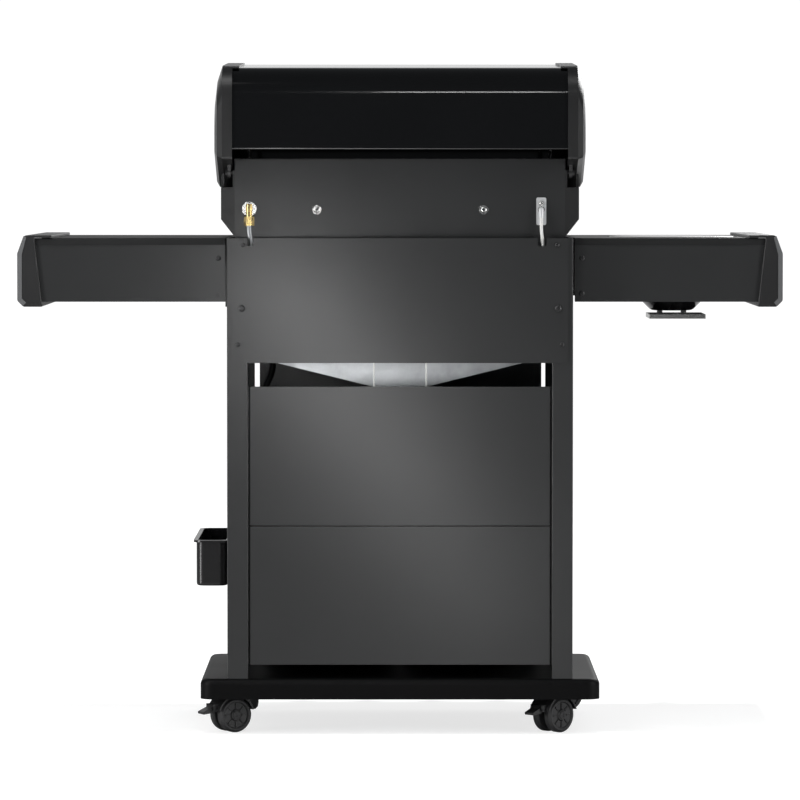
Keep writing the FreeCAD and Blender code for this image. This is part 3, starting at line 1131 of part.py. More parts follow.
def side_burner_bowl():
    """Pressed bowl under the shelf, its flange below the shelf top, and the burner head that stands in it."""
    top, t = SHELF_TOP - SHELF_SHEET, BOWL_SHEET
    low = SHELF_TOP - BOWL_DEPTH
    r = SIDE_RIM_R
    shell = [(0, low), (38, low, 14), (62, low + 24, 30), (r - 22, low + 84, 24), (r - 10, top - 24, 4),
             (r, top - 24, 3), (r, top - t), (r + 8, top - t), (r + 8, top), (r - t, top), (r - t, top - 24 + t, 1.5),
             (r - 11, top - 24 + t, 5), (r - 22 - t, low + 84 + t, 24), (62 - t * 0.6, low + 24 + t, 30),
             (37.4, low + t, 13), (0, low + t)]
    bowl = turned(shell, at(-SIDE_X, SIDE_D, 0), V(0, 0, 1))
    bowl = bowl.cut(slab(-SIDE_X - SIDE_BARREL - 8, -SIDE_X + SIDE_BARREL + 8, SIDE_AXIS_D - 8, SIDE_D - r + 1,
                         SHELF_TOP - 14, SHELF_TOP))
    head = turned([(0, low + t), (12, low + t), (12, top - 58), (32, top - 50), (32, top - 42, 2), (27, top - 38, 2),
                   (0, top - 36)], at(-SIDE_X, SIDE_D, 0), V(0, 0, 1))
    return [bowl, head]


def side_burner_grate():
    """Cast ring with four fingers over the burner, resting on the bowl's ledge."""
    top = SHELF_TOP - SHELF_SHEET - 24 + BOWL_SHEET
    r = SIDE_RIM_R - 3
    centre = at(-SIDE_X, SIDE_D, 0)
    ring = turned([(r - 8, top + 0.2), (r, top + 0.2), (r, top + 8), (r - 8, top + 8)], centre, V(0, 0, 1))
    fingers = []
    for i in range(4):
        finger = Part.makeBox(r - 26, 7, 9, V(24, -3.5, top + 3))
        finger.rotate(V(0, 0, 0), V(0, 0, 1), 45 + 90 * i)
        finger.translate(centre)
        fingers.append(finger)
    return ring.fuse(fingers)


def side_burner_tray():
    """Bright heat shield under the bowl, on two straps from its bottom."""
    z1 = SHELF_TOP - BOWL_DEPTH - 6
    x0, x1 = -SIDE_X - 59, -SIDE_X + 44
    tray = slab(x0, x1, SIDE_D - 70, SIDE_D + 70, z1 - 8, z1)
    tray = tray.cut(slab(x0 + 1.5, x1 - 1.5, SIDE_D - 68.5, SIDE_D + 68.5, z1 - 6.5, z1 + 1))
    posts = [slab(-SIDE_X + s * 22 - 5, -SIDE_X + s * 22 + 5, SIDE_D - 6, SIDE_D + 6, z1 - 7, z1 + 6) for s in (1, -1)]
    return fused(tray, *posts)


# ---- basket -------------------------------------------------------------------------------------------
HOOK_Z = BASKET_Z + BASKET_H - 30.0
HOOK_LIFT = 12.0


def hook_depths():
    return (BASKET_REAR + 60, BASKET_REAR + BASKET_L - 60)


def basket():
    x0, x1 = CART_X + 1, CART_X + BASKET_REACH
    d0, d1 = BASKET_REAR, BASKET_REAR + BASKET_L
    rim, w = 5.0, BASKET_WALL
    top = BASKET_Z + BASKET_H
    body = along_z(rectangle(x0, x1 - rim, d0 + rim, d1 - rim, 16), BASKET_Z, top)
    foot = [e for e in body.Edges if e.BoundBox.ZMax < BASKET_Z + 0.1]
    body = body.makeFillet(5.0, foot)
    brim = along_z([(x0, d0, 4), (x1, d0, 20), (x1, d1, 20), (x0, d1, 4)], top - 4, top)
    hollow = along_z(rectangle(x0 + w, x1 - rim - w, d0 + rim + w, d1 - rim - w, 13), BASKET_Z + w, top + 1)
    body = body.fuse(brim).cut(hollow)
    for d in hook_depths():
        tongue = slab(CART_X - SHEET - 4, x0 + w * 0.5, d - 10, d + 10, HOOK_Z, HOOK_Z + 3)
        turn = slab(CART_X - SHEET - 4, CART_X - SHEET - 1, d - 10, d + 10, HOOK_Z - 12, HOOK_Z + 3)
        body = body.fuse([tongue, turn])
    return body


def basket_slots():
    return [slab(CART_X - 5, CART_X + 5, d - 11, d + 11, HOOK_Z - 0.5, HOOK_Z + 3.5 + HOOK_LIFT) for d in hook_depths()]


# ---- gas hose and regulator ---------------------------------------------------------------------------
HOSE_END = (264.0, 366.0, 330.0)


def supply_hose():
    """Back from the manifold's elbow, over the door beam, and down in front of the drip pan."""
    return tube([at(HOSE_X, MANIFOLD_D - 17, KNOB_Z - 8), at(HOSE_X, MANIFOLD_D - 55, KNOB_Z - 8 - 38 * 8 / 17),
                 at(HOSE_X + 1, 422, 783), at(HOSE_X - 1, 412, 742), at(246, 406, 695), at(234, 402, 648),
                 at(259, 398, 598), at(273, 392, 540), at(272, 383, 475), at(HOSE_END[0], HOSE_END[1], 400),
                 at(*HOSE_END)], HOSE_DIA, "supply_hose")


def regulator():
    """Regulator body with its hose nut above and the bottle's hand nut below."""
    x, d, z = HOSE_END
    body = turned([(0, -17), (22, -17, 4), (29, -8, 3), (29, 8, 3), (22, 17, 4), (0, 17)], at(x, d, z - 46), V(0, 1, 0))
    neck = rod(at(x, d, z - 24), at(x, d, z), 8.0)
    outlet = turned([(0, -100), (7, -100), (9, -92), (9, -86), (17, -86, 2), (17, -70, 2), (9, -66), (9, -50), (0, -50)],
                    at(x, d, z), V(0, 0, 1))
    return fused(body, neck, outlet)


# ---- all parts ----------------------------------------------------------------------------------------
def build():
    """Every node's name and its list of solids."""
    parts = {
        "base_shelf": [base_shelf()],
        "cart_frame": cart_sides() + cart_rails() + fold_brackets(),
        "rear_panel_upper": [rear_panel_upper()],
        "rear_panels_lower": rear_panels_lower(),
        "fasteners": rear_panel_screws() + tub_screws() + lid_pins() + door_pins() + fold_pins(),
        "control_panel": control_panel(),
        "manifold": manifold(),
        "igniter_button": [igniter_button()],
        "firebox_tub": [firebox_tub(), burner_rests()] + plate_ledges(),
        "firebox_ends": both_sides(firebox_end()),
        "main_burners": main_burners(),
        "sear_plates": sear_plates(),
        "cooking_grids": cooking_grids(),
        "warming_rack": [warming_rack()],
        "rear_burner": rear_burner(),
        "gas_inlet_fitting": gas_inlet_fitting(),
        "rear_gas_tube": [rear_gas_tube()],
        "igniter_plate": igniter_plate(),
        "igniter_lead": [igniter_lead()],
        "drip_pan": [drip_pan()],
        "grease_cup": grease_cup(),
        "lid_shell": [lid_shell()],
        "lid_end_caps": both_sides(lid_end_cap()),
        "lid_handle": lid_handle(),
        "thermometer": [thermometer()],
        "shelf_right_frame": [shelf_frame(True)],
        "shelf_right_top": [shelf_top()],
        "shelf_right_cap": [shelf_cap()],
        "shelf_left_frame": [side_frame()],
        "shelf_left_top": [side_top()],
        "shelf_left_cap": [mirrored(shelf_cap())],
        "side_burner_bowl": side_burner_bowl(),
        "side_burner_grate": [side_burner_grate()],
        "side_burner_lid": [side_burner_lid()],
        "side_burner_tray": [side_burner_tray()],
        "door_right": door(1)[0],
        "door_left": door(-1)[0],
        "basket": [basket()],
        "supply_hose": [supply_hose()],
        "regulator": [regulator()],
    }
    for name in KNOBS:
        parts["valve_stem_" + name] = [valve_stem(name)]
        parts["knob_" + name] = [knob(name)]
    for name, (side, d, heading) in CASTERS.items():
        made = caster(side, d, heading)
        braked = name.startswith("rear")
        parts["caster_fork_" + name] = [made["braked" if braked else "plain"]]
        parts["caster_wheels_" + name] = [made["wheels"]]
        if braked:
            parts["caster_brake_" + name] = [made["brake"]]
    return parts


def side_frame():
    """The fixed shelf's frame, with the hole for the side burner's valve stem."""
    frame = mirrored(shelf_frame(False))
    return frame.cut(rod(at(-SIDE_X, SHELF_FRONT - 20, KNOB_Z), at(-SIDE_X, SHELF_FRONT + 5, KNOB_Z), VALVE_HOLE_R))


def tub_screws():
    """Two bright screws through the firebox's rear wall."""
    return [screw(at(x, TUB_REAR, TUB_SCREW_Z), TUB_SCREW_R, 3.5, TUB_SHEET, V(0, 1, 0)) for x in TUB_SCREWS_X]


def solids(shape):
    found = shape.Solids
    return found if found else [shape]


def main():
    os.makedirs("parts", exist_ok=True)
    parts = build()
    for name, shapes in parts.items():
        pieces = [s for shape in shapes for s in solids(shape)]
        for piece in pieces:
            if not piece.isValid() or piece.Volume <= 0:
                raise ValueError(f"{name} holds a solid that is not valid")
        if len(pieces) != len(shapes):
            raise ValueError(f"{name} has {len(pieces)} solids where {len(shapes)} are meant")
        shape = pieces[0] if len(pieces) == 1 else Part.makeCompound(pieces)
        shape.exportStep(os.path.join("parts", name + ".step"))
    print(len(parts), "nodes")


main()
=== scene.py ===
"""Gas barbecue grill: finishes, fine parts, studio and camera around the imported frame. Metres."""
import json
from math import cos, pi, radians, sin

import bmesh
import bpy
from mathutils import Matrix, Vector


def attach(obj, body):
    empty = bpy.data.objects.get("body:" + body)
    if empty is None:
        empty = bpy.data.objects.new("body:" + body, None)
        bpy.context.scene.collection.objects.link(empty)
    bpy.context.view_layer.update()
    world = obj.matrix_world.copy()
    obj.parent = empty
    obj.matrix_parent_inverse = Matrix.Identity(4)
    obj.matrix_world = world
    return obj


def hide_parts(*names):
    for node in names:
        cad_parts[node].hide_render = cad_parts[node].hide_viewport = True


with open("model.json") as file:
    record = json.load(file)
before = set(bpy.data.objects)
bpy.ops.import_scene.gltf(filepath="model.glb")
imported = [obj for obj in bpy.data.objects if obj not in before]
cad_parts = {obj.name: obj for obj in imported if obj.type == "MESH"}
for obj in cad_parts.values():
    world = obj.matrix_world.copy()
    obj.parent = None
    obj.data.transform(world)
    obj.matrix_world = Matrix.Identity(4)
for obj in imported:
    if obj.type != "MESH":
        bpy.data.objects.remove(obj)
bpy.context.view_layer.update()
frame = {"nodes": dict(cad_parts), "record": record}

scene = bpy.context.scene
nodes = frame["nodes"]
slot_of = {part["node"]: part["material_slot"] for part in frame["record"]["subparts"]}

# ---- places on the grill, in millimetres ----------------------------------------------------------------
REAR_Y = 0.2975             # rear face of the cart, in metres; depths are measured forwards from it
KNOB_X = {"burner_left": -187.5, "burner_middle": -62.5, "burner_right": 62.5, "rear_burner": 187.5,
          "side_burner": -502}
KNOB_Z = 838
KNOB_FACE_D = 38            # a knob's front from the face behind it
PANEL_D = 572               # control panel's front
APRON_REAR_D = 40           # rear and front faces of the shelves' aprons
APRON_FRONT_D = 540
IGNITER_X = -268
SHEET = 1.5
FIREBOX_D = 20              # firebox's rear wall
PANEL_SCREWS = ((282, 882, 4.2), (284, 768, 6.2), (291, 703, 4.2))       # x, z, radius of the head
SHELF_SCREW_X = 328
SHELF_SCREWS = (("right", 1, 858, "folding_shelf"), ("left", -1, 858, "root"), ("left_low", -1, 794, "root"))
FIREBOX_SCREWS = ((149.5, 945), (-150.5, 945))
GAS_PLACE = (271, FIREBOX_D, 946.5)
IGNITER_CLIP_PLACE = (-254, FIREBOX_D - 2, 945)
DIAL_PLACE = (0, 477.5, 1140)
DIAL_DISH = 8.0             # dial's dish outside the lid's sheet
DIAL_FACE = 0.4             # thickness of the face plate
HANDLE_D, HANDLE_Z = 558, 1062
HANDLE_BAR_R = 12.02
COLLARS_X = (168.5, 194.5)
CAP_REAR_D = 34.5           # rear and front faces of the shelves' end caps
CAP_FRONT_D = 545.5
CAP_MIDDLE_Z = 830
CASTERS = {                 # x, depth of the swivel axis, heading of the trail in degrees from +Y to +X
    "rear_right": (291, 62, 62.0),
    "rear_left": (-291, 62, 48.0),
    "front_right": (291, 411, 172.0),
    "front_left": (-291, 411, 250.0),
}
CASTER_TRAIL = 18
WHEEL_R = 31.5
WHEEL_OUT = 24              # a wheel's outer face from the middle of its caster


def at(x, d, z):
    """A point in millimetres, d in front of the cart's rear face, in the row frame."""
    return Vector((x / 1000, REAR_Y - d / 1000, z / 1000))


# ---- camera -------------------------------------------------------------------------------------------
VIEW_FROM = Vector((0.0, 9.2975, 1.002))
VIEW_AT = Vector((0.0, REAR_Y, 0.6035))
LENS = 225.6

camera_data = bpy.data.cameras.new("camera")
camera_data.lens = LENS
camera_data.sensor_width = 36.0
camera_data.clip_end = 100.0
camera = bpy.data.objects.new("camera", camera_data)
camera.location = VIEW_FROM
camera.rotation_euler = (VIEW_AT - VIEW_FROM).to_track_quat("-Z", "Y").to_euler()
scene.collection.objects.link(camera)
scene.camera = camera


# ---- finishes -----------------------------------------------------------------------------------------
def finish_of(name, colour, roughness, metallic=0.0, patches=0.12, patch_size=7.0, rough_patches=0.06,
              grain=1400.0, bump=0.08, stretch=(1.0, 1.0, 1.0), coat=0.0, coat_roughness=0.1, specular=0.5,
              speckle=0.0):
    """A finish with slow changes of colour and gloss, a fine grain in relief, and speckle on castings."""
    material = bpy.data.materials.new(name)
    material.use_nodes = True
    tree = material.node_tree
    make, link = tree.nodes.new, tree.links.new
    shader = tree.nodes["Principled BSDF"]
    shader.inputs["Metallic"].default_value = metallic
    shader.inputs["Specular IOR Level"].default_value = specular
    shader.inputs["Coat Weight"].default_value = coat
    shader.inputs["Coat Roughness"].default_value = coat_roughness
    place = make("ShaderNodeTexCoord")
    lay = make("ShaderNodeMapping")
    lay.inputs["Scale"].default_value = stretch
    link(place.outputs["Object"], lay.inputs["Vector"])
    slow = make("ShaderNodeTexNoise")
    slow.inputs["Scale"].default_value = patch_size
    slow.inputs["Detail"].default_value = 5.0
    link(place.outputs["Object"], slow.inputs["Vector"])
    fine = make("ShaderNodeTexNoise")
    fine.inputs["Scale"].default_value = grain
    fine.inputs["Detail"].default_value = 2.0
    link(lay.outputs["Vector"], fine.inputs["Vector"])
    ramp = make("ShaderNodeValToRGB")
    ramp.color_ramp.elements[0].position = 0.3
    ramp.color_ramp.elements[1].position = 0.7
    ramp.color_ramp.elements[0].color = [c * (1 - patches) for c in colour] + [1.0]
    ramp.color_ramp.elements[1].color = [min(c * (1 + patches), 1.0) for c in colour] + [1.0]
    link(slow.outputs["Fac"], ramp.inputs["Fac"])
    tone = ramp.outputs["Color"]
    if speckle:
        dots = make("ShaderNodeValToRGB")
        dots.color_ramp.elements[0].position = 0.35
        dots.color_ramp.elements[1].position = 0.72
        dots.color_ramp.elements[0].color = (1.0 - speckle, 1.0 - speckle, 1.0 - speckle, 1.0)
        dots.color_ramp.elements[1].color = (1.0, 1.0, 1.0, 1.0)
        link(fine.outputs["Fac"], dots.inputs["Fac"])
        both = make("ShaderNodeMix")
        both.data_type = "RGBA"
        both.blend_type = "MULTIPLY"
        both.inputs["Factor"].default_value = 1.0
        link(tone, both.inputs["A"])
        link(dots.outputs["Color"], both.inputs["B"])
        tone = both.outputs["Result"]
    link(tone, shader.inputs["Base Color"])
    gloss = make("ShaderNodeMapRange")
    gloss.inputs["From Min"].default_value = 0.3
    gloss.inputs["From Max"].default_value = 0.7
    gloss.inputs["To Min"].default_value = roughness - rough_patches / 2
    gloss.inputs["To Max"].default_value = roughness + rough_patches / 2
    link(slow.outputs["Fac"], gloss.inputs["Value"])
    link(gloss.outputs["Result"], shader.inputs["Roughness"])
    relief = make("ShaderNodeBump")
    relief.inputs["Strength"].default_value = bump
    relief.inputs["Distance"].default_value = 0.0002
    link(fine.outputs["Fac"], relief.inputs["Height"])
    link(relief.outputs["Normal"], shader.inputs["Normal"])
    return material


BRUSHED = (1.0, 30.0, 30.0)
SETTINGS = {
    "satin_black_panel": {
        "colour": (0.022, 0.0225, 0.023), "roughness": 0.3, "patches": 0.04, "rough_patches": 0.02,
        "grain": 1600.0, "bump": 0.22,
    },
    "shelf_grey": {
        "colour": (0.05, 0.051, 0.052), "roughness": 0.42, "patches": 0.05, "rough_patches": 0.03,
        "grain": 1800.0, "bump": 0.25,
    },
    "lid_enamel": {
        "colour": (0.0035, 0.0037, 0.0042), "roughness": 0.1, "rough_patches": 0.03, "patch_size": 4.0,
        "grain": 220.0, "bump": 0.008, "coat": 0.6, "coat_roughness": 0.04,
    },
    "cast_black": {
        "colour": (0.018, 0.018, 0.0185), "roughness": 0.34, "grain": 1100.0, "bump": 0.5,
        "speckle": 0.25,
    },
    "moulded_black": {
        "colour": (0.012, 0.012, 0.0125), "roughness": 0.42, "grain": 2600.0, "bump": 0.35,
    },
    "caster_tread": {
        "colour": (0.028, 0.028, 0.029), "roughness": 0.5, "grain": 1500.0, "bump": 0.3,
        "speckle": 0.15,
    },
    "stainless": {
        "colour": (0.55, 0.55, 0.54), "roughness": 0.28, "metallic": 1.0, "patches": 0.06,
        "grain": 260.0, "bump": 0.12, "stretch": BRUSHED,
    },
    "galvanised": {
        "colour": (0.34, 0.35, 0.36), "roughness": 0.36, "metallic": 1.0, "patches": 0.16,
        "patch_size": 38.0, "rough_patches": 0.14, "grain": 500.0, "bump": 0.1,
    },
    "bright_steel": {
        "colour": (0.68, 0.68, 0.67), "roughness": 0.22, "metallic": 1.0, "patches": 0.08,
        "grain": 700.0, "bump": 0.1,
    },
    "brass": {
        "colour": (0.62, 0.47, 0.2), "roughness": 0.27, "metallic": 1.0, "patches": 0.16,
        "patch_size": 90.0, "rough_patches": 0.12, "grain": 900.0, "bump": 0.12,
    },
    "bowl_enamel": {
        "colour": (0.006, 0.006, 0.0065), "roughness": 0.18, "grain": 300.0, "bump": 0.05, "coat": 0.4,
    },
    "hose_rubber": {
        "colour": (0.014, 0.014, 0.014), "roughness": 0.55, "grain": 900.0, "bump": 0.35,
    },
    "lead_sleeve": {
        "colour": (0.72, 0.72, 0.7), "roughness": 0.4, "patches": 0.05, "grain": 1600.0, "bump": 0.15,
    },
    "regulator_cast": {
        "colour": (0.2, 0.205, 0.21), "roughness": 0.45, "metallic": 0.6, "grain": 800.0, "bump": 0.5,
        "speckle": 0.2,
    },
    "base_enamel": {
        "colour": (0.002, 0.002, 0.0022), "roughness": 0.5, "patches": 0.06, "rough_patches": 0.03,
        "grain": 500.0, "bump": 0.08, "specular": 0.1,
    },
    # painted shade: the shelf tops are the same mid-grey as the frames; this darker colour stands in for
    # shade on their lip faces
    "shelf_top_painted_shade": {
        "colour": (0.01, 0.0103, 0.0106), "roughness": 0.58, "patches": 0.06, "grain": 1800.0,
        "bump": 0.25, "specular": 0.25,
    },
    "dark_zinc": {
        "colour": (0.03, 0.03, 0.031), "roughness": 0.36, "metallic": 0.4, "grain": 1500.0, "bump": 0.1,
    },
    "pale_plate": {
        "colour": (0.62, 0.63, 0.64), "roughness": 0.34, "metallic": 0.35, "patches": 0.06,
        "grain": 900.0, "bump": 0.08,
    },
    "white_paint": {
        "colour": (0.72, 0.72, 0.7), "roughness": 0.5, "patches": 0.04, "grain": 1500.0, "bump": 0.05,
    },
    "red_paint": {
        "colour": (0.5, 0.02, 0.015), "roughness": 0.45, "patches": 0.05, "grain": 1500.0, "bump": 0.05,
    },
    # painted highlight: a pale grey for strips on the end caps' outer edges, standing in for side light on
    # their rounded edges
    "painted_highlight_grey": {
        "colour": (0.11, 0.112, 0.115), "roughness": 0.42, "patches": 0.06, "grain": 2200.0,
        "bump": 0.2,
    },
    "gloss_plastic": {
        "colour": (0.006, 0.006, 0.0065), "roughness": 0.26, "grain": 1500.0, "bump": 0.12,
    },
}
FINISHES = {name: finish_of(name, **settings) for name, settings in SETTINGS.items()}
FINISH_FOR = {
    "base_shelf": "base_enamel",
    "basket": "gloss_plastic",
    # the shelf tops take the darker grey of painted shade
    "shelf_left_top": "shelf_top_painted_shade",
    "shelf_right_top": "shelf_top_painted_shade",
    "fasteners": "dark_zinc",
    "warming_rack": "dark_zinc",
    "igniter_plate": "pale_plate",
}
for name, node in nodes.items():
    for spot in node.material_slots:
        spot.material = FINISHES[FINISH_FOR.get(name, slot_of[name])]


# ---- gas hose -----------------------------------------------------------------------------------------
HOSE_ROUTE = [(258, 488, 830), (258, 450, 812.1), (259, 422, 783), (257, 412, 742), (246, 406, 695),
              (234, 402, 648), (259, 398, 598), (273, 392, 540), (272, 383, 475), (264, 366, 400),
              (264, 366, 330)]
HOSE_DIA = 0.011


def nurbs_tube(name, route, diameter, material):
    """A round tube on one smooth spline with the route as its control points."""
    data = bpy.data.curves.new(name, "CURVE")
    data.dimensions = "3D"
    spline = data.splines.new("NURBS")
    spline.points.add(len(route) - 1)
    for point, place in zip(spline.points, route):
        point.co = (*at(*place), 1.0)
    spline.order_u = 3
    spline.use_endpoint_u = True
    spline.resolution_u = 16
    data.bevel_depth = diameter / 2
    data.bevel_resolution = 8
    data.use_fill_caps = True
    data.materials.append(material)
    piece = bpy.data.objects.new(name, data)
    scene.collection.objects.link(piece)
    return piece


hose = nurbs_tube("supply_hose_line", HOSE_ROUTE, HOSE_DIA, FINISHES["hose_rubber"])
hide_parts("supply_hose")
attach(hose, "root")


# ---- fine parts ---------------------------------------------------------------------------------------
OUT_REAR = Vector((0.0, 1.0, 0.0))
OUT_FRONT = Vector((0.0, -1.0, 0.0))
UP = Vector((0.0, 0.0, 1.0))
DIAL_OUT = Vector((0.0, -100.0, 45.0)).normalized()
SIDES = ((1, "right"), (-1, "left"))
MM = 0.001
WELD = 0.0005              # points closer than this are one, in millimetres
SHARP_ANGLE = radians(35)


def piece_of(name, shape, foot, way, finish, body):
    """A mesh from a bmesh drawn in millimetres round its own Z, stood on foot along way."""
    z = way.normalized()
    x = UP.cross(z).normalized()
    y = z.cross(x)
    turn = Matrix((x, y, z)).transposed().to_4x4()
    bmesh.ops.remove_doubles(shape, verts=shape.verts, dist=WELD)
    bmesh.ops.recalc_face_normals(shape, faces=shape.faces)
    shape.transform(Matrix.Translation(foot) @ turn @ Matrix.Scale(MM, 4))
    data = bpy.data.meshes.new(name)
    shape.to_mesh(data)
    shape.free()
    data.shade_smooth()
    data.set_sharp_from_angle(angle=SHARP_ANGLE)
    data.materials.append(FINISHES[finish])
    made = bpy.data.objects.new(name, data)
    scene.collection.objects.link(made)
    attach(made, body)
    return made


def lathe(shape, profile, segments=64, middle=(0.0, 0.0)):
    """Turn a closed (radius, height) profile about an axis along Z."""
    rings = []
    for i in range(segments):
        a = 2 * pi * i / segments
        rings.append([shape.verts.new((middle[0] + r * cos(a), middle[1] + r * sin(a), h))
                      for r, h in profile])
    count = len(profile)
    for i in range(segments):
        here, there = rings[i], rings[(i + 1) % segments]
        for j in range(count):
            k = (j + 1) % count
            if profile[j][0] > 0 or profile[k][0] > 0:
                corners = [here[j], there[j], there[k], here[k]]
                if profile[j][0] == 0:
                    corners.pop(1)
                elif profile[k][0] == 0:
                    corners.pop(2)
                shape.faces.new(corners)


def plate(shape, outline, low, high, edge=0.15):
    """Raise an outline of (x, y) points from low to high, its upper edge eased by a small step inwards."""
    cx = sum(x for x, _ in outline) / len(outline)
    cy = sum(y for _, y in outline) / len(outline)
    reach = max(max(abs(x - cx) for x, _ in outline), max(abs(y - cy) for _, y in outline))
    share = 1 - edge / reach
    layers = []
    for z, scale in ((low, 1.0), (high - edge, 1.0), (high, share)):
        layers.append([shape.verts.new((cx + (x - cx) * scale, cy + (y - cy) * scale, z))
                       for x, y in outline])
    count = len(outline)
    for below, above in zip(layers, layers[1:]):
        for i in range(count):
            j = (i + 1) % count
            shape.faces.new([below[i], below[j], above[j], above[i]])
    shape.faces.new(layers[0][::-1])
    shape.faces.new(layers[-1])


def pill(x, y0, y1, half):
    """An upright stadium outline."""
    ends = []
    for middle, start in ((y1 - half, 0.0), (y0 + half, pi)):
        turns = [start + pi * i / 8 for i in range(9)]
        ends += [(x + half * cos(turn), middle + half * sin(turn)) for turn in turns]
    return ends


def spoke(angle, inner, outer, half):
    """A bar's outline on a radius, its half width across; angle is clockwise from the top, in degrees."""
    a = radians(angle)
    out, across = (sin(a), cos(a)), (cos(a), -sin(a))
    return [(out[0] * r + across[0] * s, out[1] * r + across[1] * s)
            for r, s in ((inner, -half), (outer, -half), (outer, half), (inner, half))]


def cross_head(shape, radius, height, slot_half, slot_reach, depth, middle=(0.0, 0.0)):
    """A domed screw head with a cross recess, drawn on a fine polar grid."""
    segments, steps = 72, 26
    rings = []
    for j in range(1, steps + 1):
        r = radius * j / steps
        ring = []
        for i in range(segments):
            a = 2 * pi * i / segments
            x, y = r * cos(a), r * sin(a)
            h = height * (1 - (r / radius) ** 4)
            if min(abs(x), abs(y)) < slot_half and r < slot_reach:
                h -= depth
            ring.append(shape.verts.new((middle[0] + x, middle[1] + y, h)))
        rings.append(ring)
    centre = shape.verts.new((middle[0], middle[1], height - depth))
    for i in range(segments):
        j = (i + 1) % segments
        shape.faces.new([centre, rings[0][i], rings[0][j]])
        for inside, outside in zip(rings, rings[1:]):
            shape.faces.new([inside[i], outside[i], outside[j], inside[j]])
    shape.faces.new(rings[-1][::-1])


def ring_profile(inner, outer, high, ease):
    return [(inner, 0.0), (outer, 0.0), (outer, high - ease), (outer - ease, high), (inner + ease, high),
            (inner, high - ease)]


# Screws on the panels, shelves and firebox
for side, where in SIDES:
    for i, (x, z, radius) in enumerate(PANEL_SCREWS):
        head = bmesh.new()
        cross_head(head, radius, radius * 0.62, radius * 0.13, radius * 0.55, radius * 0.3)
        piece_of(f"panel_screw_{where}_{i}", head, at(side * x, -SHEET, z), OUT_REAR, "dark_zinc",
                 "root")
for where, side, z, body in SHELF_SCREWS:
    head = bmesh.new()
    cross_head(head, 5.0, 1.6, 0.7, 2.8, 1.0)
    piece_of(f"shelf_screw_{where}", head, at(side * SHELF_SCREW_X, APRON_REAR_D, z), OUT_REAR, "dark_zinc",
             body)
for i, (x, z) in enumerate(FIREBOX_SCREWS):
    head = bmesh.new()
    cross_head(head, 6.3, 3.9, 0.8, 3.4, 1.8)
    lathe(head, ring_profile(5.6, 8.4, 0.9, 0.3))
    piece_of(f"firebox_screw_{i}", head, at(x, FIREBOX_D, z), OUT_REAR, "bright_steel",
             "root")

# Gas elbow's washer, and the igniter's screw and clip
washer = bmesh.new()
lathe(washer, ring_profile(5.9, 13.4, 2.8, 0.5))
piece_of("gas_washer", washer, at(*GAS_PLACE), OUT_REAR, "bright_steel", "root")
clip = bmesh.new()
lathe(clip, ring_profile(4.7, 6.2, 3.0, 0.5))
cross_head(clip, 5.2, 5.4, 0.6, 2.8, 1.2, (0.0, 11.5))
piece_of("igniter_clip", clip, at(*IGNITER_CLIP_PLACE), OUT_REAR, "bright_steel", "root")

# Knobs: a ring and marks on the panel behind each, every fourth mark longer, and a pointer on its bar
for name, x in KNOB_X.items():
    face_d = APRON_FRONT_D if name == "side_burner" else PANEL_D
    trim_and_painted_highlight = bmesh.new()
    lathe(trim_and_painted_highlight, ring_profile(27.6, 31.2, 1.8, 0.5), segments=96)
    piece_of(f"knob_ring_{name}", trim_and_painted_highlight, at(x, face_d, KNOB_Z), OUT_FRONT, "bright_steel",
             "root")
    marks = bmesh.new()
    for k in range(9):
        outer, half = (38.5, 0.9) if k % 4 == 0 else (36.0, 0.5)
        plate(marks, spoke(-90 + 22.5 * k, 33.2, outer, half), 0.0, 0.35, 0.08)
    piece_of(f"knob_marks_{name}", marks, at(x, face_d, KNOB_Z), OUT_FRONT, "white_paint",
             "root")
    pointer = bmesh.new()
    plate(pointer, pill(0.0, 4.5, 15.5, 1.0), 0.0, 0.4, 0.12)
    piece_of(f"knob_pointer_{name}", pointer, at(x, face_d + KNOB_FACE_D, KNOB_Z), OUT_FRONT, "white_paint",
             f"knob_{name}")
trim_and_painted_highlight = bmesh.new()
lathe(trim_and_painted_highlight, ring_profile(9.8, 13.2, 1.6, 0.5))
piece_of("igniter_ring", trim_and_painted_highlight, at(IGNITER_X, PANEL_D, KNOB_Z), OUT_FRONT, "bright_steel",
         "root")


# Dial: white face, marks, warm zone, needle and its pin
def dial_piece(name, shape, height, finish):
    """A piece of the dial, its foot at a height in millimetres over the lid's sheet."""
    return piece_of(name, shape, at(*DIAL_PLACE) + DIAL_OUT * height * MM, DIAL_OUT, finish, "lid")


face = bmesh.new()
lathe(face, [(0.0, 0.0), (29.4, 0.0), (29.4, DIAL_FACE), (0.0, DIAL_FACE)], segments=96)
dial_piece("dial_face", face, DIAL_DISH, "white_paint")
marks = bmesh.new()
for k in range(25):
    inner, half = (22.0, 0.28) if k % 4 else (19.5, 0.5)
    plate(marks, spoke(-135 + 11.25 * k, inner, 27.0, half), 0.0, 0.2, 0.05)
dial_piece("dial_marks", marks, DIAL_DISH + DIAL_FACE, "dark_zinc")
zone = bmesh.new()
for k in range(9):
    plate(zone, spoke(62 + 6.5 * k, 15.5, 18.0, 0.92), 0.0, 0.2, 0.05)
dial_piece("dial_zone", zone, DIAL_DISH + DIAL_FACE, "red_paint")
needle = bmesh.new()
lie = radians(-135)
along, across = (sin(lie), cos(lie)), (cos(lie), -sin(lie))
NEEDLE_TIP, NEEDLE_TAIL, NEEDLE_HALF = 21, 7, 1.1
plate(needle, [(along[0] * NEEDLE_TIP, along[1] * NEEDLE_TIP),
               (across[0] * NEEDLE_HALF, across[1] * NEEDLE_HALF),
               (-along[0] * NEEDLE_TAIL, -along[1] * NEEDLE_TAIL),
               (-across[0] * NEEDLE_HALF, -across[1] * NEEDLE_HALF)], 0.5, 0.9, 0.1)
lathe(needle, [(0.0, 0.0), (2.4, 0.0), (2.4, 1.3), (1.8, 1.8), (0.0, 1.8)])
dial_piece("dial_needle", needle, DIAL_DISH + DIAL_FACE + 0.2, "dark_zinc")

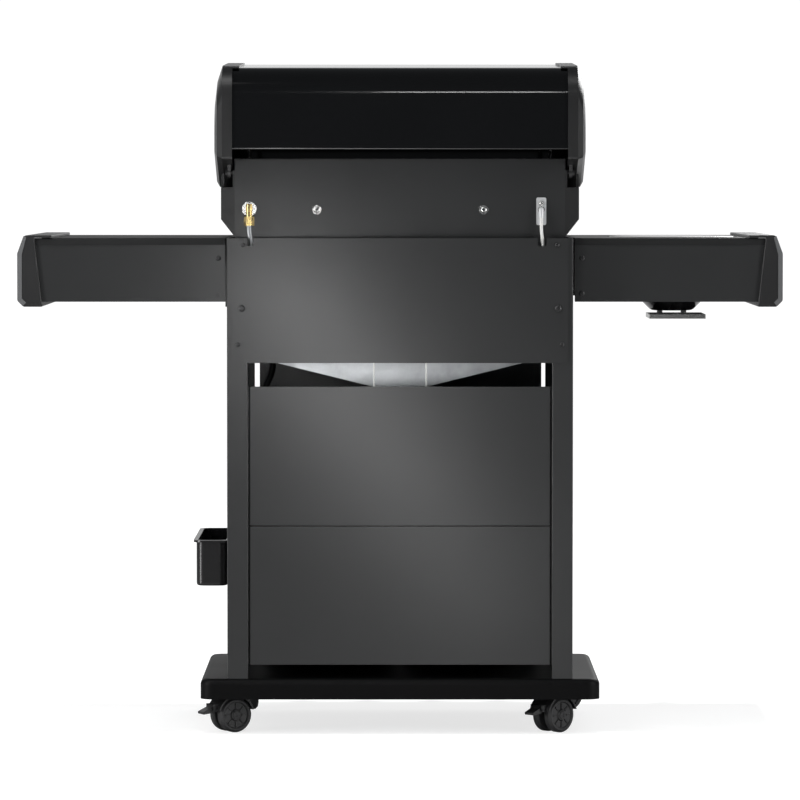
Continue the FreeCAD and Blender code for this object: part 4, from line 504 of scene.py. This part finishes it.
# Collars on the handle's tube
COLLAR = [(HANDLE_BAR_R, -2.5), (13.6, -2.5), (14.0, -2.1), (14.0, 2.1), (13.6, 2.5), (HANDLE_BAR_R, 2.5)]
for side, where in SIDES:
    for j, x in enumerate(COLLARS_X):
        collar = bmesh.new()
        lathe(collar, COLLAR)
        piece_of(f"handle_collar_{where}_{j}", collar, at(side * x, HANDLE_D, HANDLE_Z), Vector((side, 0, 0)),
                 "bright_steel", "lid")

# Painted highlight: pale grey strips on the outer edges of the shelves' end caps, at the back and the front,
# where side light catches the caps' rounded edges
CAP_PAINTED_HIGHLIGHT = [(679.5, 771.5), (689.6, 781.8), (689.8, 866.0), (678.0, 898.0), (673.5, 895.0), (681.5, 864.0),
            (681.5, 785.0), (674.0, 777.5)]
for side, where in SIDES:
    for face_d, way, end, turn in ((CAP_REAR_D, OUT_REAR, "rear", -1), (CAP_FRONT_D, OUT_FRONT, "front", 1)):
        trim_and_painted_highlight = bmesh.new()
        plate(trim_and_painted_highlight, [(side * turn * x, z - CAP_MIDDLE_Z) for x, z in CAP_PAINTED_HIGHLIGHT], 0.0, 0.8, 0.3)
        piece_of(f"shelf_cap_trim_{where}_{end}", trim_and_painted_highlight, at(0, face_d, CAP_MIDDLE_Z), way, "painted_highlight_grey",
                 "folding_shelf" if side > 0 else "root")

# Hub covers and spokes on both faces of each caster's wheels
HUB = [(0.0, 0.0), (7.6, 0.0), (7.6, 0.6), (6.8, 1.2), (3.2, 1.2), (2.6, 0.7), (0.0, 0.7)]
for name, (x, d, heading) in CASTERS.items():
    trail = Vector((sin(radians(heading)), cos(radians(heading)), 0.0))
    axle_way = Vector((-trail.y, trail.x, 0.0))
    axle = at(x, d, WHEEL_R) + trail * CASTER_TRAIL * MM
    for end, where in ((1, "out"), (-1, "in")):
        hub = bmesh.new()
        lathe(hub, HUB, segments=48)
        for k in range(8):
            plate(hub, spoke(45 * k, 11.4, 21.5, 1.3), -3.0, -1.2, 0.3)
        piece_of(f"caster_hub_{name}_{where}", hub, axle + axle_way * end * WHEEL_OUT * MM, axle_way * end,
                 "dark_zinc", f"wheels_{name}")


# ---- studio -------------------------------------------------------------------------------------------
def stage_finish():
    """A pale floor that shows white where it is lit and light grey where the grill shades it."""
    material = bpy.data.materials.new("studio_floor")
    material.use_nodes = True
    shader = material.node_tree.nodes["Principled BSDF"]
    shader.inputs["Base Color"].default_value = (0.35, 0.35, 0.35, 1.0)
    shader.inputs["Roughness"].default_value = 0.9
    shader.inputs["Specular IOR Level"].default_value = 0.1
    tree = material.node_tree
    glow = tree.nodes.new("ShaderNodeEmission")
    glow.inputs["Strength"].default_value = 0.74
    seen = tree.nodes.new("ShaderNodeLightPath")
    dark = tree.nodes.new("ShaderNodeEmission")
    dark.inputs["Strength"].default_value = 0.0
    choice = tree.nodes.new("ShaderNodeMixShader")
    both = tree.nodes.new("ShaderNodeAddShader")
    tree.links.new(seen.outputs["Is Camera Ray"], choice.inputs["Fac"])
    tree.links.new(dark.outputs["Emission"], choice.inputs[1])
    tree.links.new(glow.outputs["Emission"], choice.inputs[2])
    tree.links.new(shader.outputs["BSDF"], both.inputs[0])
    tree.links.new(choice.outputs["Shader"], both.inputs[1])
    tree.links.new(both.outputs["Shader"], tree.nodes["Material Output"].inputs["Surface"])
    return material


FLOOR_REACH = 6.0
floor_mesh = bpy.data.meshes.new("floor")
FLOOR_CORNERS = ((-1, -1), (1, -1), (1, 1), (-1, 1))
floor_mesh.from_pydata([(x * FLOOR_REACH, y * FLOOR_REACH, 0) for x, y in FLOOR_CORNERS], [], [(0, 1, 2, 3)])
floor_mesh.materials.append(stage_finish())
floor = bpy.data.objects.new("floor", floor_mesh)
scene.collection.objects.link(floor)


def softbox(name, place, aim, size, power, roll=0.0):
    """A rectangular light; roll turns it about its own direction."""
    data = bpy.data.lights.new(name, "AREA")
    data.shape = "RECTANGLE"
    data.size, data.size_y = size
    data.energy = power
    lamp = bpy.data.objects.new(name, data)
    turn = (Vector(aim) - Vector(place)).to_track_quat("-Z", "Y").to_matrix().to_4x4()
    lamp.matrix_world = Matrix.Translation(place) @ turn @ Matrix.Rotation(roll, 4, "Z")
    lamp.visible_camera = False
    scene.collection.objects.link(lamp)
    return lamp


STREAK_FROM = Vector((0.3, REAR_Y + 1.0, 0.87))
STREAK_TO = Vector((-0.2, REAR_Y + 1.0, 0.1))
STREAK_POWERS = (0.95, 0.75, 0.5, 0.28)
step = (STREAK_TO - STREAK_FROM) / len(STREAK_POWERS)
for i, power in enumerate(STREAK_POWERS):
    centre = STREAK_FROM + step * (i + 0.5)
    softbox(f"streak_{i}", centre, centre - Vector((0, 1, 0)), (0.1, step.length), power, radians(33))
all_but_lid = bpy.data.collections.new("all_but_lid")
all_but_lid.objects.link(nodes["lid_shell"])
all_but_lid.collection_objects[0].light_linking.link_state = "EXCLUDE"
for x, power in ((1.7, 26.0), (0.6, 9.0), (-0.5, 3.0)):
    lamp = softbox("top", (x, 1.2, 3.0), (x * 0.3, 0.1, 1.0), (1.1, 0.9), power)
    lamp.light_linking.receiver_collection = all_but_lid
lid_only = bpy.data.collections.new("lid_only")
lid_only.objects.link(nodes["lid_shell"])
crest = softbox("crest_glow", (1.3, 1.5, 3.0), (0.3, 0.2, 1.2), (1.8, 1.0), 5.0)
crest.light_linking.receiver_collection = lid_only
softbox("high_band", (-0.2, 5.3, 2.9), (0.0, REAR_Y, 1.15), (0.5, 0.14), 3.8)
softbox("side_right", (2.4, 1.3, 1.1), (0.0, 0.3, 0.8), (0.5, 2.2), 46.0)
softbox("side_left", (-2.4, 1.3, 1.1), (0.0, 0.3, 0.8), (0.5, 2.2), 38.0)
softbox("backdrop_glow", (0.0, -5.0, 2.0), (0.0, 0.0, 1.2), (7.0, 3.6), 55.0)
softbox("front", (-1.6, -3.0, 2.2), (0.0, -0.2, 0.7), (1.6, 1.6), 45.0)
sun_data = bpy.data.lights.new("overhead", "SUN")
sun_data.energy = 3.2
sun_data.angle = radians(2)
sun = bpy.data.objects.new("overhead", sun_data)
scene.collection.objects.link(sun)
lit_by_sun = bpy.data.collections.new("lit_by_sun")
lit_by_sun.objects.link(floor)
sun.light_linking.receiver_collection = lit_by_sun

world = bpy.data.worlds.new("studio")
scene.world = world
world.use_nodes = True
tree = world.node_tree
backdrop = tree.nodes["Background"]
backdrop.inputs["Color"].default_value = (1.0, 1.0, 1.0, 1.0)
backdrop.inputs["Strength"].default_value = 1.05
room = tree.nodes.new("ShaderNodeBackground")
room.inputs["Color"].default_value = (0.9, 0.95, 1.0, 1.0)
room.inputs["Strength"].default_value = 0.07
seen = tree.nodes.new("ShaderNodeLightPath")
choice = tree.nodes.new("ShaderNodeMixShader")
tree.links.new(seen.outputs["Is Camera Ray"], choice.inputs["Fac"])
tree.links.new(room.outputs["Background"], choice.inputs[1])
tree.links.new(backdrop.outputs["Background"], choice.inputs[2])
tree.links.new(choice.outputs["Shader"], tree.nodes["World Output"].inputs["Surface"])
scene.view_settings.view_transform = "Standard"
